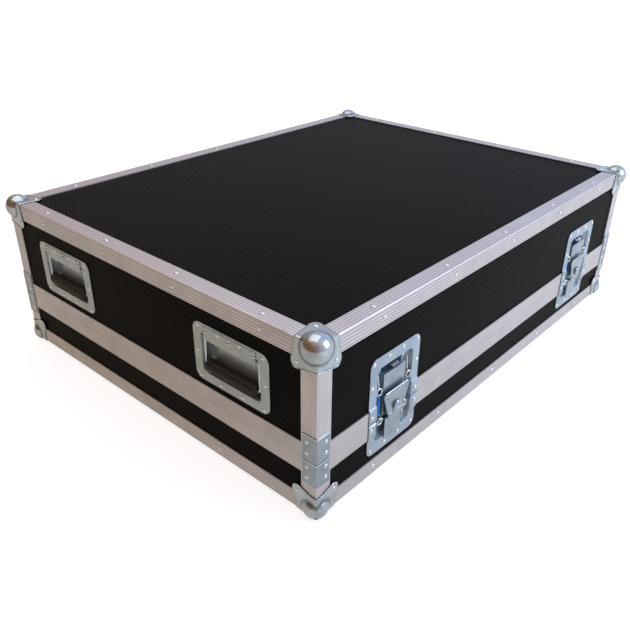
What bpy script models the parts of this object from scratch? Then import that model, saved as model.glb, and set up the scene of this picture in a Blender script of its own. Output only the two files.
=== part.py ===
import functools
import math

import bmesh
import bpy
from mathutils import Matrix, Vector

for old_object in list(bpy.data.objects):
    bpy.data.objects.remove(old_object, do_unlink=True)

# Metres, +Z up, origin on the floor under the middle of the case.
# The front (a long side with two latches) faces -Y, the handle ends face -X and +X.
# "Depth" is measured inward from the outer face of the edging, so proud things have negative depth.

# Case envelope over the flat faces of the edging.
CASE_LENGTH = 1.032
CASE_WIDTH = 0.805
CASE_HEIGHT = 0.301
TRAY_HEIGHT = 0.1037
FOOT_DROP = 0.008

# Sheet, board and running clearances.
FIT = 0.0003
PANEL_THICK = 0.009
FLOOR_REBATE = 0.002
EDGE_THICK = 0.002
EDGE_WIDTH = 0.030
EDGE_RIDGE = 0.0018
RIDGE_CROWN = 0.3
SHEET = 0.0012
GROOVE_DEPTH = 0.0004
GROOVE_STAGGER = 0.00008
GROOVE_HALF = 0.0006
EDGE_GROOVES = 6
POST_GROOVES = 4
BAND_GROOVES = 6

# Locating extrusions on either side of the joint line.
BAND_HEIGHT = 0.0264
TRAY_WEB = 0.0025
LID_WEB = 0.0075
RIM_LEG_THICK = 0.0015
RIM_LEG_DROP = 0.0125
TONGUE_DEPTH = 0.0055
TONGUE_WIDTH = 0.003
TONGUE_HEIGHT = 0.005

# Corner braces on the upright posts.
BRACE_WIDTH = 0.0273
BRACE_PROUD = 0.0012
BRACE_BITE = 0.001
BRACE_SETBACK = 0.0005
POST_BITE = 0.0002
TRAY_BRACE_HEIGHT = 0.0430
LID_BRACE_HEIGHT = 0.0455

# Ball corners.
BALL_CENTRE_IN = 0.012
LID_BALL_RADIUS = 0.023
TRAY_BALL_RADIUS = 0.0205
EAR_CENTRE = 0.0365
EAR_RADIUS = 0.011
RIDGE_REACH = 0.040
CORNER_SHEET = 0.0012
CORNER_EASE = 0.0004

# Latches: widths along the wall, heights from the joint line.
LATCH_INSET = 0.182
LATCH_WIDTH = 0.1264
LATCH_RISE = 0.1153
LATCH_FALL = 0.0647
LATCH_CORNER = 0.014
LATCH_STEP = 0.0035
LATCH_PAN_WIDTH = 0.090
LATCH_PAN_RISE = 0.0948
LATCH_PAN_FALL = 0.0427
LATCH_PAN_CORNER = 0.010
LATCH_PAN_FLOOR = 0.010
LATCH_PAN_DRAFT = 0.40
COVER_HALF = 0.028
COVER_FACE = 0.0015
COVER_THICK = 0.0015
COVER_LOW = 0.0013
COVER_TOP = 0.0813
SPINDLE_RISE = 0.0123
SHAFT_RADIUS = 0.006
HUB_RADIUS = 0.0085
HUB_PROUD = 0.009
HUB_ROUND = 0.0012
CAM_RADIUS = 0.009
CAM_THICK = 0.001
WING_BACK = -0.0035
WING_THICK = 0.0015
WING_HINGE_DROP = 0.0115
WING_KNUCKLE = 0.0016
WING_PIN = 0.0008
WING_RISE = 0.032
WING_ROOT_HALF = 0.0205
WING_TIP_HALF = 0.0325
WING_SIDE_DROP = 0.0075
WING_EASE = 0.0035
WING_HOLE_SIDE = 0.0245
WING_HOLE_RISE = 0.0215
WING_HOLE_RADIUS = 0.0016
PIN_HALF = 0.014
KNUCKLE_END = 0.019
LEAF_HALF = 0.0175
LEAF_EASE = 0.002
KEEPER_HALF = 0.021
KEEPER_FACE = -0.0007
KEEPER_THICK = 0.0015
KEEPER_TOP = -0.0077
KEEPER_FOOT = -0.0477
KEEPER_LIP = 0.0029
LIP_THICK = 0.002
HOOK_HALF = 0.0195
HOOK_THICK = 0.0015
HOOK_TOP = 0.0413
HOOK_DRAW_UP = 0.005
HOOK_DRAW_OUT = 0.0033

# Handles: widths along the wall, heights from the handle centre.
HANDLE_INSET = 0.1755
HANDLE_LOW_SHARE = 0.295
HANDLE_WIDTH = 0.166
HANDLE_HEIGHT = 0.104
HANDLE_CORNER = 0.015
HANDLE_PAN_HALF = 0.065
HANDLE_PAN_LOW = -0.035
HANDLE_PAN_HIGH = 0.038
HANDLE_PAN_FLOOR = 0.017
HANDLE_PAN_CORNER = 0.008
HANDLE_PAN_DRAFT = 0.28
STRAP_HALF = 0.057
STRAP_LOW = 0.024
STRAP_HIGH = 0.0495
STRAP_PROUD = 0.0015
BARREL_RISE = 0.043
BARREL_RADIUS = 0.0036
BARREL_HALF = 0.009
BARREL_SPREAD = 0.038
BAIL_HINGE_RISE = 0.033
BAIL_HINGE_DEPTH = 0.005
BAIL_ROD = 0.0025
BAIL_HALF = 0.060
BAIL_DROP = 0.0535
BAIL_BEND = 0.005
GRIP_RADIUS = 0.0105
GRIP_HALF = 0.0565
GRIP_FLUTES = 14
GRIP_FLUTE_DEPTH = 0.0008
KNUCKLE_HALF = 0.004
KNUCKLE_WALL = 0.0011

# Positions that follow from the sizes above.
HALF_LENGTH = CASE_LENGTH / 2
HALF_WIDTH = CASE_WIDTH / 2
CASE_TOP = FOOT_DROP + CASE_HEIGHT
JOINT_LINE = FOOT_DROP + TRAY_HEIGHT
PANEL_INSET = EDGE_THICK + FIT
PANEL_BACK = PANEL_INSET + PANEL_THICK
HALF_FIT = FIT / 2
RIM_BACK = PANEL_BACK + FIT + RIM_LEG_THICK
TRAY_RIM_TOP = JOINT_LINE - HALF_FIT
LID_RIM_BOTTOM = JOINT_LINE + HALF_FIT
FLOOR_TOP = FOOT_DROP + PANEL_INSET + PANEL_THICK
ROOF_BOTTOM = CASE_TOP - PANEL_INSET - PANEL_THICK
TRAY_WALL_TOP = TRAY_RIM_TOP - TRAY_WEB - FIT
LID_WALL_BOTTOM = LID_RIM_BOTTOM + LID_WEB + FIT
PANEL_FLANGE_FACE = PANEL_INSET - FIT - SHEET
BAND_FLANGE_FACE = -FIT - SHEET
LATCH_SPREAD = HALF_LENGTH - LATCH_INSET
HANDLE_SPREAD = HALF_WIDTH - HANDLE_INSET
REACH = 0.05
WELD = 0.000001
SMOOTH_ANGLE = math.radians(35)

# The handles sit a little low in the free height of the lid's end wall.
LID_FREE_LOW = JOINT_LINE + BAND_HEIGHT
LID_FREE_HEIGHT = CASE_TOP - EDGE_WIDTH - LID_FREE_LOW
HANDLE_Z = LID_FREE_LOW + HANDLE_LOW_SHARE * (LID_FREE_HEIGHT - HANDLE_HEIGHT) + HANDLE_HEIGHT / 2

# A cutter that clears the latch pan through boards and rims but leaves the rim's inner leg whole.
PAN_GAP = SHEET + 2 * FIT
LATCH_NOTCH_BACK = PANEL_BACK + HALF_FIT

case_parts = bpy.data.collections.new("lighting_console_flight_case")
cutters = bpy.data.collections.new("cutters")
bpy.context.scene.collection.children.link(case_parts)
bpy.context.scene.collection.children.link(cutters)


def surface(name, colour, metallic, roughness):
    material = bpy.data.materials.new(name)
    material.use_nodes = True
    shader = material.node_tree.nodes["Principled BSDF"]
    shader.inputs["Base Color"].default_value = (*colour, 1.0)
    shader.inputs["Metallic"].default_value = metallic
    shader.inputs["Roughness"].default_value = roughness
    return material


MATERIALS = {
    "board": surface("board", (0.015, 0.014, 0.013), 0.0, 0.6),
    "aluminium": surface("aluminium", (0.62, 0.61, 0.60), 1.0, 0.38),
    "zinc_steel": surface("zinc_steel", (0.50, 0.53, 0.56), 1.0, 0.32),
    "bright_steel": surface("bright_steel", (0.66, 0.68, 0.70), 1.0, 0.22),
    "rubber_grip": surface("rubber_grip", (0.012, 0.012, 0.013), 0.0, 0.75),
}


def add_piece(name, bm, material=None, origin=(0, 0, 0), parent=None):
    # Without a material the piece is a tool: it only shapes others and stays out of the render.
    bmesh.ops.recalc_face_normals(bm, faces=bm.faces)
    bmesh.ops.translate(bm, verts=bm.verts, vec=-Vector(origin))
    mesh = bpy.data.meshes.new(name)
    bm.to_mesh(mesh)
    bm.free()
    mesh.shade_smooth()
    mesh.set_sharp_from_angle(angle=SMOOTH_ANGLE)
    piece = bpy.data.objects.new(name, mesh)
    piece.location = origin
    piece.parent = parent
    if material is None:
        cutters.objects.link(piece)
        piece.hide_render = True
        piece.display_type = "WIRE"
    else:
        case_parts.objects.link(piece)
        mesh.materials.append(MATERIALS[material])
    return piece


# Outline axes: a plate along "z" is drawn in (x, y), along "y" in (x, z) and along "x" in (y, z).
AXIS_TURN = {
    "z": Matrix.Identity(4),
    "y": Matrix(((1, 0, 0, 0), (0, 0, 1, 0), (0, 1, 0, 0), (0, 0, 0, 1))),
    "x": Matrix(((0, 0, 1, 0), (1, 0, 0, 0), (0, 1, 0, 0), (0, 0, 0, 1))),
}


def curve_to_mesh(curve):
    # The curve becomes a mesh with its caps welded, ready to be cut or joined.
    holder = bpy.data.objects.new(curve.name, curve)
    cutters.objects.link(holder)
    evaluated = holder.evaluated_get(bpy.context.evaluated_depsgraph_get())
    bm = bmesh.new()
    drawn = bpy.data.meshes.new_from_object(evaluated)
    bm.from_mesh(drawn)
    bmesh.ops.transform(bm, matrix=holder.matrix_world, verts=bm.verts)
    bmesh.ops.remove_doubles(bm, verts=bm.verts, dist=WELD)
    bm.to_mesh(drawn)
    bm.free()
    bpy.data.objects.remove(holder, do_unlink=True)
    return drawn


def new_curve(dimensions, points):
    curve = bpy.data.curves.new("outline", "CURVE")
    curve.dimensions = dimensions
    spline = curve.splines.new("POLY")
    spline.points.add(len(points) - 1)
    for point, position in zip(spline.points, points):
        point.co = (*position, 1.0)
    spline.use_cyclic_u = True
    return curve


@functools.lru_cache(maxsize=None)
def flat_outline(outline, thickness):
    curve = new_curve("2D", [(a, b, 0.0) for a, b in outline])
    curve.fill_mode = "BOTH"
    curve.extrude = thickness / 2
    return curve_to_mesh(curve)


@functools.lru_cache(maxsize=None)
def round_bar(path, radius):
    curve = new_curve("3D", path)
    curve.bevel_depth = radius
    curve.bevel_resolution = 2
    return curve_to_mesh(curve)


def from_mesh(mesh, matrix):
    bm = bmesh.new()
    bm.from_mesh(mesh)
    bmesh.ops.transform(bm, matrix=matrix, verts=bm.verts)
    return bm


def slab(name, axis, low, high, outline, move=None, **options):
    # A flat outline drawn square to the axis, with its thickness from low to high.
    matrix = AXIS_TURN[axis] @ Matrix.Translation((0, 0, (low + high) / 2))
    bm = from_mesh(flat_outline(tuple(outline), high - low), (move or Matrix.Identity(4)) @ matrix)
    return add_piece(name, bm, **options)


def loft(name, low, high, low_outline, high_outline, **options):
    # A tapered block along Y between two outlines drawn in (x, z) with the same number of points.
    bm = bmesh.new()
    near = [bm.verts.new((a, low, b)) for a, b in low_outline]
    far = [bm.verts.new((a, high, b)) for a, b in high_outline]
    bm.faces.new(near)
    bm.faces.new(far[::-1])
    for i in range(len(near)):
        j = (i + 1) % len(near)
        bm.faces.new((near[i], far[i], far[j], near[j]))
    return add_piece(name, bm, **options)


def drum(name, axis, low, high, centre, radius, sides, **options):
    # A cylinder along the axis; its centre is given in the same pair of axes as an outline.
    bm = bmesh.new()
    matrix = AXIS_TURN[axis] @ Matrix.Translation((centre[0], centre[1], (low + high) / 2))
    size = {"radius1": radius, "radius2": radius, "depth": high - low}
    bmesh.ops.create_cone(bm, cap_ends=True, segments=sides, matrix=matrix, **size)
    return add_piece(name, bm, **options)


def box(name, x_span, y_span, z_span, move=None, **options):
    bm = bmesh.new()
    middle = [(low + high) / 2 for low, high in (x_span, y_span, z_span)]
    size = [high - low for low, high in (x_span, y_span, z_span)]
    matrix = (move or Matrix.Identity(4)) @ Matrix.Translation(middle) @ Matrix.Diagonal((*size, 1.0))
    bmesh.ops.create_cube(bm, size=1.0, matrix=matrix)
    return add_piece(name, bm, **options)


def arc(centre, radius, start, end, steps):
    points = []
    for i in range(steps + 1):
        angle = math.radians(start + (end - start) * i / steps)
        points.append((centre[0] + radius * math.cos(angle), centre[1] + radius * math.sin(angle)))
    return points


def rounded(a_low, a_high, b_low, b_high, radius, steps=5, square_low=False):
    # A rectangle with rounded corners; the two low corners can be left square.
    if square_low:
        points = [(a_low, b_low), (a_high, b_low)]
    else:
        points = arc((a_low + radius, b_low + radius), radius, 180, 270, steps)
        points += arc((a_high - radius, b_low + radius), radius, 270, 360, steps)
    points += arc((a_high - radius, b_high - radius), radius, 0, 90, steps)
    points += arc((a_low + radius, b_high - radius), radius, 90, 180, steps)
    return points


def shape(piece, operation, *tools):
    for tool in tools:
        modifier = piece.modifiers.new(tool.name, "BOOLEAN")
        modifier.operation = operation
        modifier.solver = "EXACT"
        modifier.object = tool


def mount(name, location, turn):
    # An empty whose local +Y points into the case and whose local XZ plane is the edging face.
    empty = bpy.data.objects.new(name, None)
    empty.location = location
    empty.rotation_euler = (0, 0, math.radians(turn))
    empty.empty_display_size = 0.02
    case_parts.objects.link(empty)
    return empty


def groove_stops(start, end, count):
    pitch = (end - start) / count
    return [start + pitch * (i + 0.5) for i in range(count)]


def angle_outline(grooves):
    # Equal angle drawn from its outer corner, with fine grooves along both outer faces. Every second
    # groove is a little shallower, which also keeps three groove bottoms from lying in one line.
    face = [(EDGE_RIDGE, 0)]
    for index, stop in enumerate(groove_stops(EDGE_RIDGE, EDGE_WIDTH, grooves)):
        depth = GROOVE_DEPTH - GROOVE_STAGGER * (index % 2)
        face += [(stop - GROOVE_HALF, 0), (stop, depth), (stop + GROOVE_HALF, 0)]
    face.append((EDGE_WIDTH, 0))
    inside = [(EDGE_WIDTH, EDGE_THICK), (EDGE_THICK, EDGE_THICK), (EDGE_THICK, EDGE_WIDTH)]
    crown = RIDGE_CROWN * EDGE_RIDGE
    return inside + [(b, a) for a, b in reversed(face)] + [(crown, crown)] + face


def mitred(name, stations):
    # An extrusion through stations that each hold the same profile, mitred in between.
    bm = bmesh.new()
    loops = [[bm.verts.new(point) for point in station] for station in stations]
    for here, there in zip(loops, loops[1:]):
        for i in range(len(here)):
            j = (i + 1) % len(here)
            bm.faces.new((here[i], there[i], there[j], here[j]))
    bm.faces.new(loops[0])
    bm.faces.new(loops[-1][::-1])
    return add_piece(name, bm, "aluminium")


def end_run(name, profile, x_side):
    # A profile of (depth, height) points carried round one end of the case, between the middles of the
    # long sides.
    stations = [
        [(x_side * HALF_FIT, -(HALF_WIDTH - d), z) for d, z in profile],
        [(x_side * (HALF_LENGTH - d), -(HALF_WIDTH - d), z) for d, z in profile],
        [(x_side * (HALF_LENGTH - d), HALF_WIDTH - d, z) for d, z in profile],
        [(x_side * HALF_FIT, HALF_WIDTH - d, z) for d, z in profile],
    ]
    return mitred(name, stations)


def corner_run(name, profile, x_side, y_side):
    # The same, round one corner only: from the middle of a long side to the middle of an end.
    stations = [
        [(x_side * HALF_FIT, y_side * (HALF_WIDTH - d), z) for d, z in profile],
        [(x_side * (HALF_LENGTH - d), y_side * (HALF_WIDTH - d), z) for d, z in profile],
        [(x_side * (HALF_LENGTH - d), y_side * HALF_FIT, z) for d, z in profile],
    ]
    return mitred(name, stations)


# Boards. The tray's walls stand in a rebate round the floor, so that its inner field is flat and free.
BOARD_X = HALF_LENGTH - PANEL_INSET
BOARD_Y = HALF_WIDTH - PANEL_INSET
END_BOARD_Y = HALF_WIDTH - PANEL_BACK - FIT
FIELD_X = HALF_LENGTH - PANEL_BACK - FIT
STEP_TOP = FLOOR_TOP - FLOOR_REBATE
board_spans = {"tray": (STEP_TOP + FIT, TRAY_WALL_TOP), "lid": (LID_WALL_BOTTOM, ROOF_BOTTOM - FIT)}
walls = {}
full_size = ((-BOARD_X, BOARD_X), (-BOARD_Y, BOARD_Y))
floor = box("tray_floor", *full_size, (FLOOR_TOP - PANEL_THICK, STEP_TOP), material="board")
field_size = ((-FIELD_X, FIELD_X), (-END_BOARD_Y, END_BOARD_Y))
shape(floor, "UNION", box("floor_field", *field_size, (STEP_TOP - FLOOR_REBATE, FLOOR_TOP)))
box("lid_top", *full_size, (ROOF_BOTTOM, ROOF_BOTTOM + PANEL_THICK), material="board")
for half, z_span in board_spans.items():
    for side, sign in (("front", -1), ("back", 1)):
        y_span = sorted((sign * BOARD_Y, sign * (BOARD_Y - PANEL_THICK)))
        wall_name = half + "_wall_" + side
        walls[wall_name] = box(wall_name, (-BOARD_X, BOARD_X), y_span, z_span, material="board")
    for side, sign in (("left", -1), ("right", 1)):
        x_span = sorted((sign * BOARD_X, sign * (BOARD_X - PANEL_THICK)))
        wall_name = half + "_wall_" + side
        walls[wall_name] = box(wall_name, x_span, (-END_BOARD_Y, END_BOARD_Y), z_span, material="board")

# Edging round the bottom of the tray and the top of the lid, in two lengths each.
for end_name, x_side in (("left", -1), ("right", 1)):
    end_run("tray_edging_" + end_name, [(d, FOOT_DROP + z) for d, z in angle_outline(EDGE_GROOVES)], x_side)
    end_run("lid_edging_" + end_name, [(d, CASE_TOP - z) for d, z in angle_outline(EDGE_GROOVES)], x_side)


def rim_profile(way, face, web, band, groove):
    # Heights run away from the joint line: down for the tray (way -1) and up for the lid (way 1).
    profile = [(0, 0)]
    for stop in groove_stops(0, band, BAND_GROOVES):
        profile += [(0, stop - GROOVE_HALF), (GROOVE_DEPTH, stop), (0, stop + GROOVE_HALF)]
    profile += [(0, band), (EDGE_THICK, band), (EDGE_THICK, web)]
    profile += [(RIM_BACK - RIM_LEG_THICK, web), (RIM_BACK - RIM_LEG_THICK, web + RIM_LEG_DROP)]
    profile += [(RIM_BACK, web + RIM_LEG_DROP), (RIM_BACK, 0)]
    far = TONGUE_DEPTH + TONGUE_WIDTH + (FIT if groove else 0)
    near = TONGUE_DEPTH - (FIT if groove else 0)
    end = TONGUE_HEIGHT + 2 * FIT if groove else -TONGUE_HEIGHT
    profile += [(far, 0), (far, end), (near, end), (near, 0)]
    return [(depth, face + way * height) for depth, height in profile]


# Rims with the tongue on the tray and the groove on the lid.
rim_profiles = {
    "tray": rim_profile(-1, TRAY_RIM_TOP, TRAY_WEB, BAND_HEIGHT, False),
    "lid": rim_profile(1, LID_RIM_BOTTOM, LID_WEB, BAND_HEIGHT, True),
}
CORNERS = {"front_left": (-1, -1), "front_right": (1, -1), "back_left": (-1, 1), "back_right": (1, 1)}


def corner_frame(x_side, y_side, z_side, z):
    # Axes that run inward from a corner of the envelope; z_side 0 leaves Z pointing up.
    corner = (x_side * HALF_LENGTH, y_side * HALF_WIDTH, z)
    return Matrix.Translation(corner) @ Matrix.Diagonal((-x_side, -y_side, -z_side or 1, 1.0))


# Each corner frame is a quarter of the rim with the upright post and brace that are riveted to it.
# The rim's band stops short of the post, and its web reaches in behind the post to hold it.
post_spans = {
    "tray": (FOOT_DROP + EDGE_WIDTH + FIT, TRAY_RIM_TOP),
    "lid": (LID_RIM_BOTTOM, CASE_TOP - EDGE_WIDTH - FIT),
}
brace_spans = {
    "tray": (TRAY_RIM_TOP - TRAY_BRACE_HEIGHT, TRAY_RIM_TOP - BRACE_SETBACK),
    "lid": (LID_RIM_BOTTOM + BRACE_SETBACK, LID_RIM_BOTTOM + LID_BRACE_HEIGHT),
}
brace_outline = [
    (BRACE_WIDTH, BRACE_BITE),
    (BRACE_BITE, BRACE_BITE),
    (BRACE_BITE, BRACE_WIDTH),
    (-BRACE_PROUD, BRACE_WIDTH),
    (-BRACE_PROUD, BRACE_PROUD),
    (-RIDGE_CROWN * BRACE_PROUD, -RIDGE_CROWN * BRACE_PROUD),
    (BRACE_PROUD, -BRACE_PROUD),
    (BRACE_WIDTH, -BRACE_PROUD),
]
post_end = EDGE_WIDTH + FIT
post_back = EDGE_THICK - POST_BITE
clear_outline = [
    (-REACH, -REACH),
    (post_end, -REACH),
    (post_end, post_back),
    (post_back, post_back),
    (post_back, post_end),
    (-REACH, post_end),
]
post_outline = angle_outline(POST_GROOVES)
corner_frames = {}
for corner_name, (x_side, y_side) in CORNERS.items():
    into_place = corner_frame(x_side, y_side, 0, 0)
    z_span = (JOINT_LINE - REACH, JOINT_LINE + REACH)
    clearance = slab("post_clearance_" + corner_name, "z", *z_span, clear_outline, into_place)
    for half in ("tray", "lid"):
        frame_name = half + "_frame_" + corner_name
        run = corner_run(frame_name, rim_profiles[half], x_side, y_side)
        post = slab(frame_name + "_post", "z", *post_spans[half], post_outline, into_place)
        brace = slab(frame_name + "_brace", "z", *brace_spans[half], brace_outline, into_place)
        shape(run, "DIFFERENCE", clearance)
        shape(run, "UNION", post, brace)
        corner_frames[frame_name] = run


def ear_outline():
    # One face of a ball corner: a little longer beside the ridge than on it, with a round ear.
    edge = CORNER_EASE - FIT - CORNER_SHEET
    points = [(edge, edge), (RIDGE_REACH, edge)]
    points += arc((EAR_CENTRE, EAR_CENTRE), EAR_RADIUS, -14, 104, 5)
    return points + [(edge, RIDGE_REACH)]


def ball_corner(name, signs, radius):
    is_lid = signs[2] > 0
    into_place = corner_frame(*signs, CASE_TOP if is_lid else FOOT_DROP)
    span = (-FIT - CORNER_SHEET, EDGE_THICK)
    corner = slab(name, "z", *span, ear_outline(), into_place, material="zinc_steel")
    front_ear = slab(name + "_front_ear", "y", *span, ear_outline(), into_place)
    end_ear = slab(name + "_end_ear", "x", *span, ear_outline(), into_place)
    bm = bmesh.new()
    matrix = into_place @ Matrix.Translation([BALL_CENTRE_IN] * 3)
    bmesh.ops.create_uvsphere(bm, u_segments=20, v_segments=10, radius=radius, matrix=matrix)
    ball = add_piece(name + "_ball", bm)
    inside = (-FIT, 2 * REACH)
    envelope = box(name + "_envelope", inside, inside, inside, into_place)
    shape(corner, "UNION", front_ear, end_ear, ball)
    shape(corner, "DIFFERENCE", envelope)
    if not is_lid:
        around = (-REACH, REACH)
        ground = box(name + "_ground", around, around, (-REACH, -FOOT_DROP), into_place)
        shape(corner, "DIFFERENCE", ground)


for corner_name, (x_side, y_side) in CORNERS.items():
    ball_corner("lid_ball_corner_" + corner_name, (x_side, y_side, 1), LID_BALL_RADIUS)
    ball_corner("tray_ball_corner_" + corner_name, (x_side, y_side, -1), TRAY_BALL_RADIUS)


def latch_dish(name, way, far_edge, pan_far, parent):
    # Half of a latch dish: way 1 is the lid half above the joint line, way -1 the tray half below it.
    def up(points):
        return [(a, way * b) for a, b in points]

    def pan_outline(depth, grow, low):
        shrink = (depth - PANEL_FLANGE_FACE) * LATCH_PAN_DRAFT
        half = LATCH_PAN_WIDTH / 2 - shrink + grow
        return up(rounded(-half, half, low, pan_far - shrink + grow, LATCH_PAN_CORNER, 4, True))

    step_low = BAND_HEIGHT + FIT
    step_high = step_low + LATCH_STEP
    shoulder = SHEET / 2
    face = [(BAND_FLANGE_FACE, HALF_FIT), (BAND_FLANGE_FACE, step_low + shoulder)]
    face += [(PANEL_FLANGE_FACE, step_high + shoulder), (PANEL_FLANGE_FACE, far_edge + REACH)]
    back = [(PANEL_FLANGE_FACE + SHEET, far_edge + REACH), (PANEL_FLANGE_FACE + SHEET, step_high)]
    back += [(BAND_FLANGE_FACE + SHEET, step_low), (BAND_FLANGE_FACE + SHEET, HALF_FIT)]
    half_width = LATCH_WIDTH / 2
    dish = slab(name, "x", -half_width, half_width, up(face + back), material="zinc_steel", parent=parent)
    outline = up(rounded(-half_width, half_width, -REACH, far_edge, LATCH_CORNER, 5, True))
    trim = slab(name + "_outline", "y", -REACH, REACH, outline, parent=parent)
    shape(dish, "INTERSECT", trim)

    start = BAND_FLANGE_FACE - SHEET
    back_of_pan = LATCH_PAN_FLOOR + SHEET
    near = pan_outline(start, SHEET, HALF_FIT)
    far = pan_outline(back_of_pan, SHEET, HALF_FIT)
    pan = loft(name + "_pan", start, back_of_pan, near, far, parent=parent)
    middle = [(depth + SHEET / 2, height) for depth, height in face]
    middle[0] = (middle[0][0], -REACH)
    behind = up(middle + [(REACH, far_edge + REACH), (REACH, -REACH)])
    pan_front = slab(name + "_pan_front", "x", -half_width, half_width, behind, parent=parent)
    shape(pan, "INTERSECT", pan_front)
    shape(dish, "UNION", pan)
    start = PANEL_FLANGE_FACE - REACH / 4
    near = pan_outline(start, 0, -REACH)
    far = pan_outline(LATCH_PAN_FLOOR, 0, -REACH)
    hollow = loft(name + "_hollow", start, LATCH_PAN_FLOOR, near, far, parent=parent)
    shape(dish, "DIFFERENCE", hollow)
    return dish


def latch(place_name, x_offset, y_side):
    prefix = "latch_" + place_name
    turn = 0 if y_side < 0 else 180
    root = mount(prefix + "_mount", (x_offset, y_side * HALF_WIDTH, JOINT_LINE), turn)

    # The lid dish carries a cover plate that the spindle turns in.
    lid_dish = latch_dish(prefix + "_lid_dish", 1, LATCH_RISE, LATCH_PAN_RISE, root)
    cover_back = COVER_FACE + COVER_THICK
    foot = LATCH_PAN_FLOOR + FIT
    turned_in = COVER_TOP - COVER_THICK
    outline = [(COVER_FACE, COVER_LOW), (COVER_FACE, COVER_TOP), (foot, COVER_TOP)]
    outline += [(foot, turned_in), (cover_back, turned_in), (cover_back, COVER_LOW)]
    cover = slab(prefix + "_cover", "x", -COVER_HALF, COVER_HALF, outline, parent=root)
    axis_point = (0, SPINDLE_RISE)
    bore_radius = SHAFT_RADIUS + FIT
    bearing = drum(prefix + "_bearing", "y", 0, cover_back + FIT, axis_point, bore_radius, 16, parent=root)
    shape(lid_dish, "UNION", cover)
    shape(lid_dish, "DIFFERENCE", bearing)

    # The tray dish carries the keeper, a plate whose top edge is turned in to make a catch.
    tray_dish = latch_dish(prefix + "_tray_dish", -1, LATCH_FALL, LATCH_PAN_FALL, root)
    keeper_back = KEEPER_FACE + KEEPER_THICK + FIT
    catch = keeper_back + KEEPER_LIP
    catch_low = KEEPER_TOP - LIP_THICK
    outline = [(KEEPER_FACE, KEEPER_FOOT), (KEEPER_FACE, KEEPER_TOP), (catch, KEEPER_TOP)]
    outline += [(catch, catch_low), (keeper_back, catch_low), (keeper_back, KEEPER_FOOT)]
    keeper = slab(prefix + "_keeper", "x", -KEEPER_HALF, KEEPER_HALF, outline, parent=root)
    shape(tray_dish, "UNION", keeper)

    # The hook hangs behind the keeper when released; drawn up and out, its lip sits under the catch.
    lip_top = catch_low - FIT - HOOK_DRAW_UP
    lip_end = keeper_back + FIT + HOOK_DRAW_OUT
    hook_face = catch + 2 * FIT + HOOK_DRAW_OUT
    hook_back = hook_face + HOOK_THICK
    outline = [(hook_face, HOOK_TOP), (hook_back, HOOK_TOP), (hook_back, lip_top - LIP_THICK)]
    outline += [(lip_end, lip_top - LIP_THICK), (lip_end, lip_top), (hook_face, lip_top)]
    hook_options = {"material": "bright_steel", "parent": root, "origin": (0, hook_face, SPINDLE_RISE)}
    hook = slab(prefix + "_hook", "x", -HOOK_HALF, HOOK_HALF, outline, **hook_options)
    slot_half = SHAFT_RADIUS + 2 * FIT
    slot_low = SPINDLE_RISE - HOOK_DRAW_UP - slot_half
    slot_top = SPINDLE_RISE + slot_half
    slot_outline = rounded(-slot_half, slot_half, slot_low, slot_top, slot_half - HALF_FIT, 4)
    slot = slab(prefix + "_hook_slot", "y", hook_face - FIT, hook_back + FIT, slot_outline, parent=root)
    shape(hook, "DIFFERENCE", slot)

    # The spindle: round hub in front of the cover, shaft through it, cam disc behind it, and the lower
    # leaf that the wing hinges on.
    on_axis = {"parent": root, "origin": (0, WING_BACK, SPINDLE_RISE)}
    hub_span = (-HUB_PROUD, COVER_FACE - FIT)
    hub_options = {"material": "bright_steel", **on_axis}
    spindle = drum(prefix + "_spindle", "y", *hub_span, axis_point, HUB_RADIUS, 20, **hub_options)
    edge = spindle.modifiers.new("rounded_hub", "BEVEL")
    edge.width = HUB_ROUND
    edge.segments = 1
    edge.limit_method = "ANGLE"
    edge.angle_limit = math.radians(60)
    shaft_end = LATCH_PAN_FLOOR - 2 * FIT
    shaft = drum(prefix + "_shaft", "y", 0, shaft_end, axis_point, SHAFT_RADIUS, 12, parent=root)
    cam_face = cover_back + FIT
    cam = drum(prefix + "_cam", "y", cam_face, cam_face + CAM_THICK, axis_point, CAM_RADIUS, 14, parent=root)
    wing_face = WING_BACK - WING_THICK
    hinge_z = SPINDLE_RISE - WING_HINGE_DROP
    hinge_depth = WING_BACK - WING_THICK / 2
    leaf_top = hinge_z - WING_KNUCKLE - FIT
    leaf_low = hinge_z - WING_HINGE_DROP
    leaf_top_half = LEAF_HALF + LEAF_EASE
    tongue_half = HUB_RADIUS - 2 * FIT
    tongue_top = SPINDLE_RISE - LEAF_EASE
    leaf_right = [(LEAF_HALF - LEAF_EASE, leaf_low), (LEAF_HALF, leaf_low + LEAF_EASE)]
    leaf_right += [(leaf_top_half, leaf_top), (tongue_half, leaf_top), (tongue_half - FIT, tongue_top)]
    leaf_outline = leaf_right + [(-a, b) for a, b in reversed(leaf_right)]
    leaf = slab(prefix + "_leaf", "y", wing_face, WING_BACK, leaf_outline, parent=root)
    hinge_point = (hinge_depth, hinge_z)
    pin = drum(prefix + "_pin", "x", -PIN_HALF, PIN_HALF, hinge_point, WING_PIN, 6, parent=root)
    shape(spindle, "UNION", shaft, cam, leaf, pin)

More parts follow.
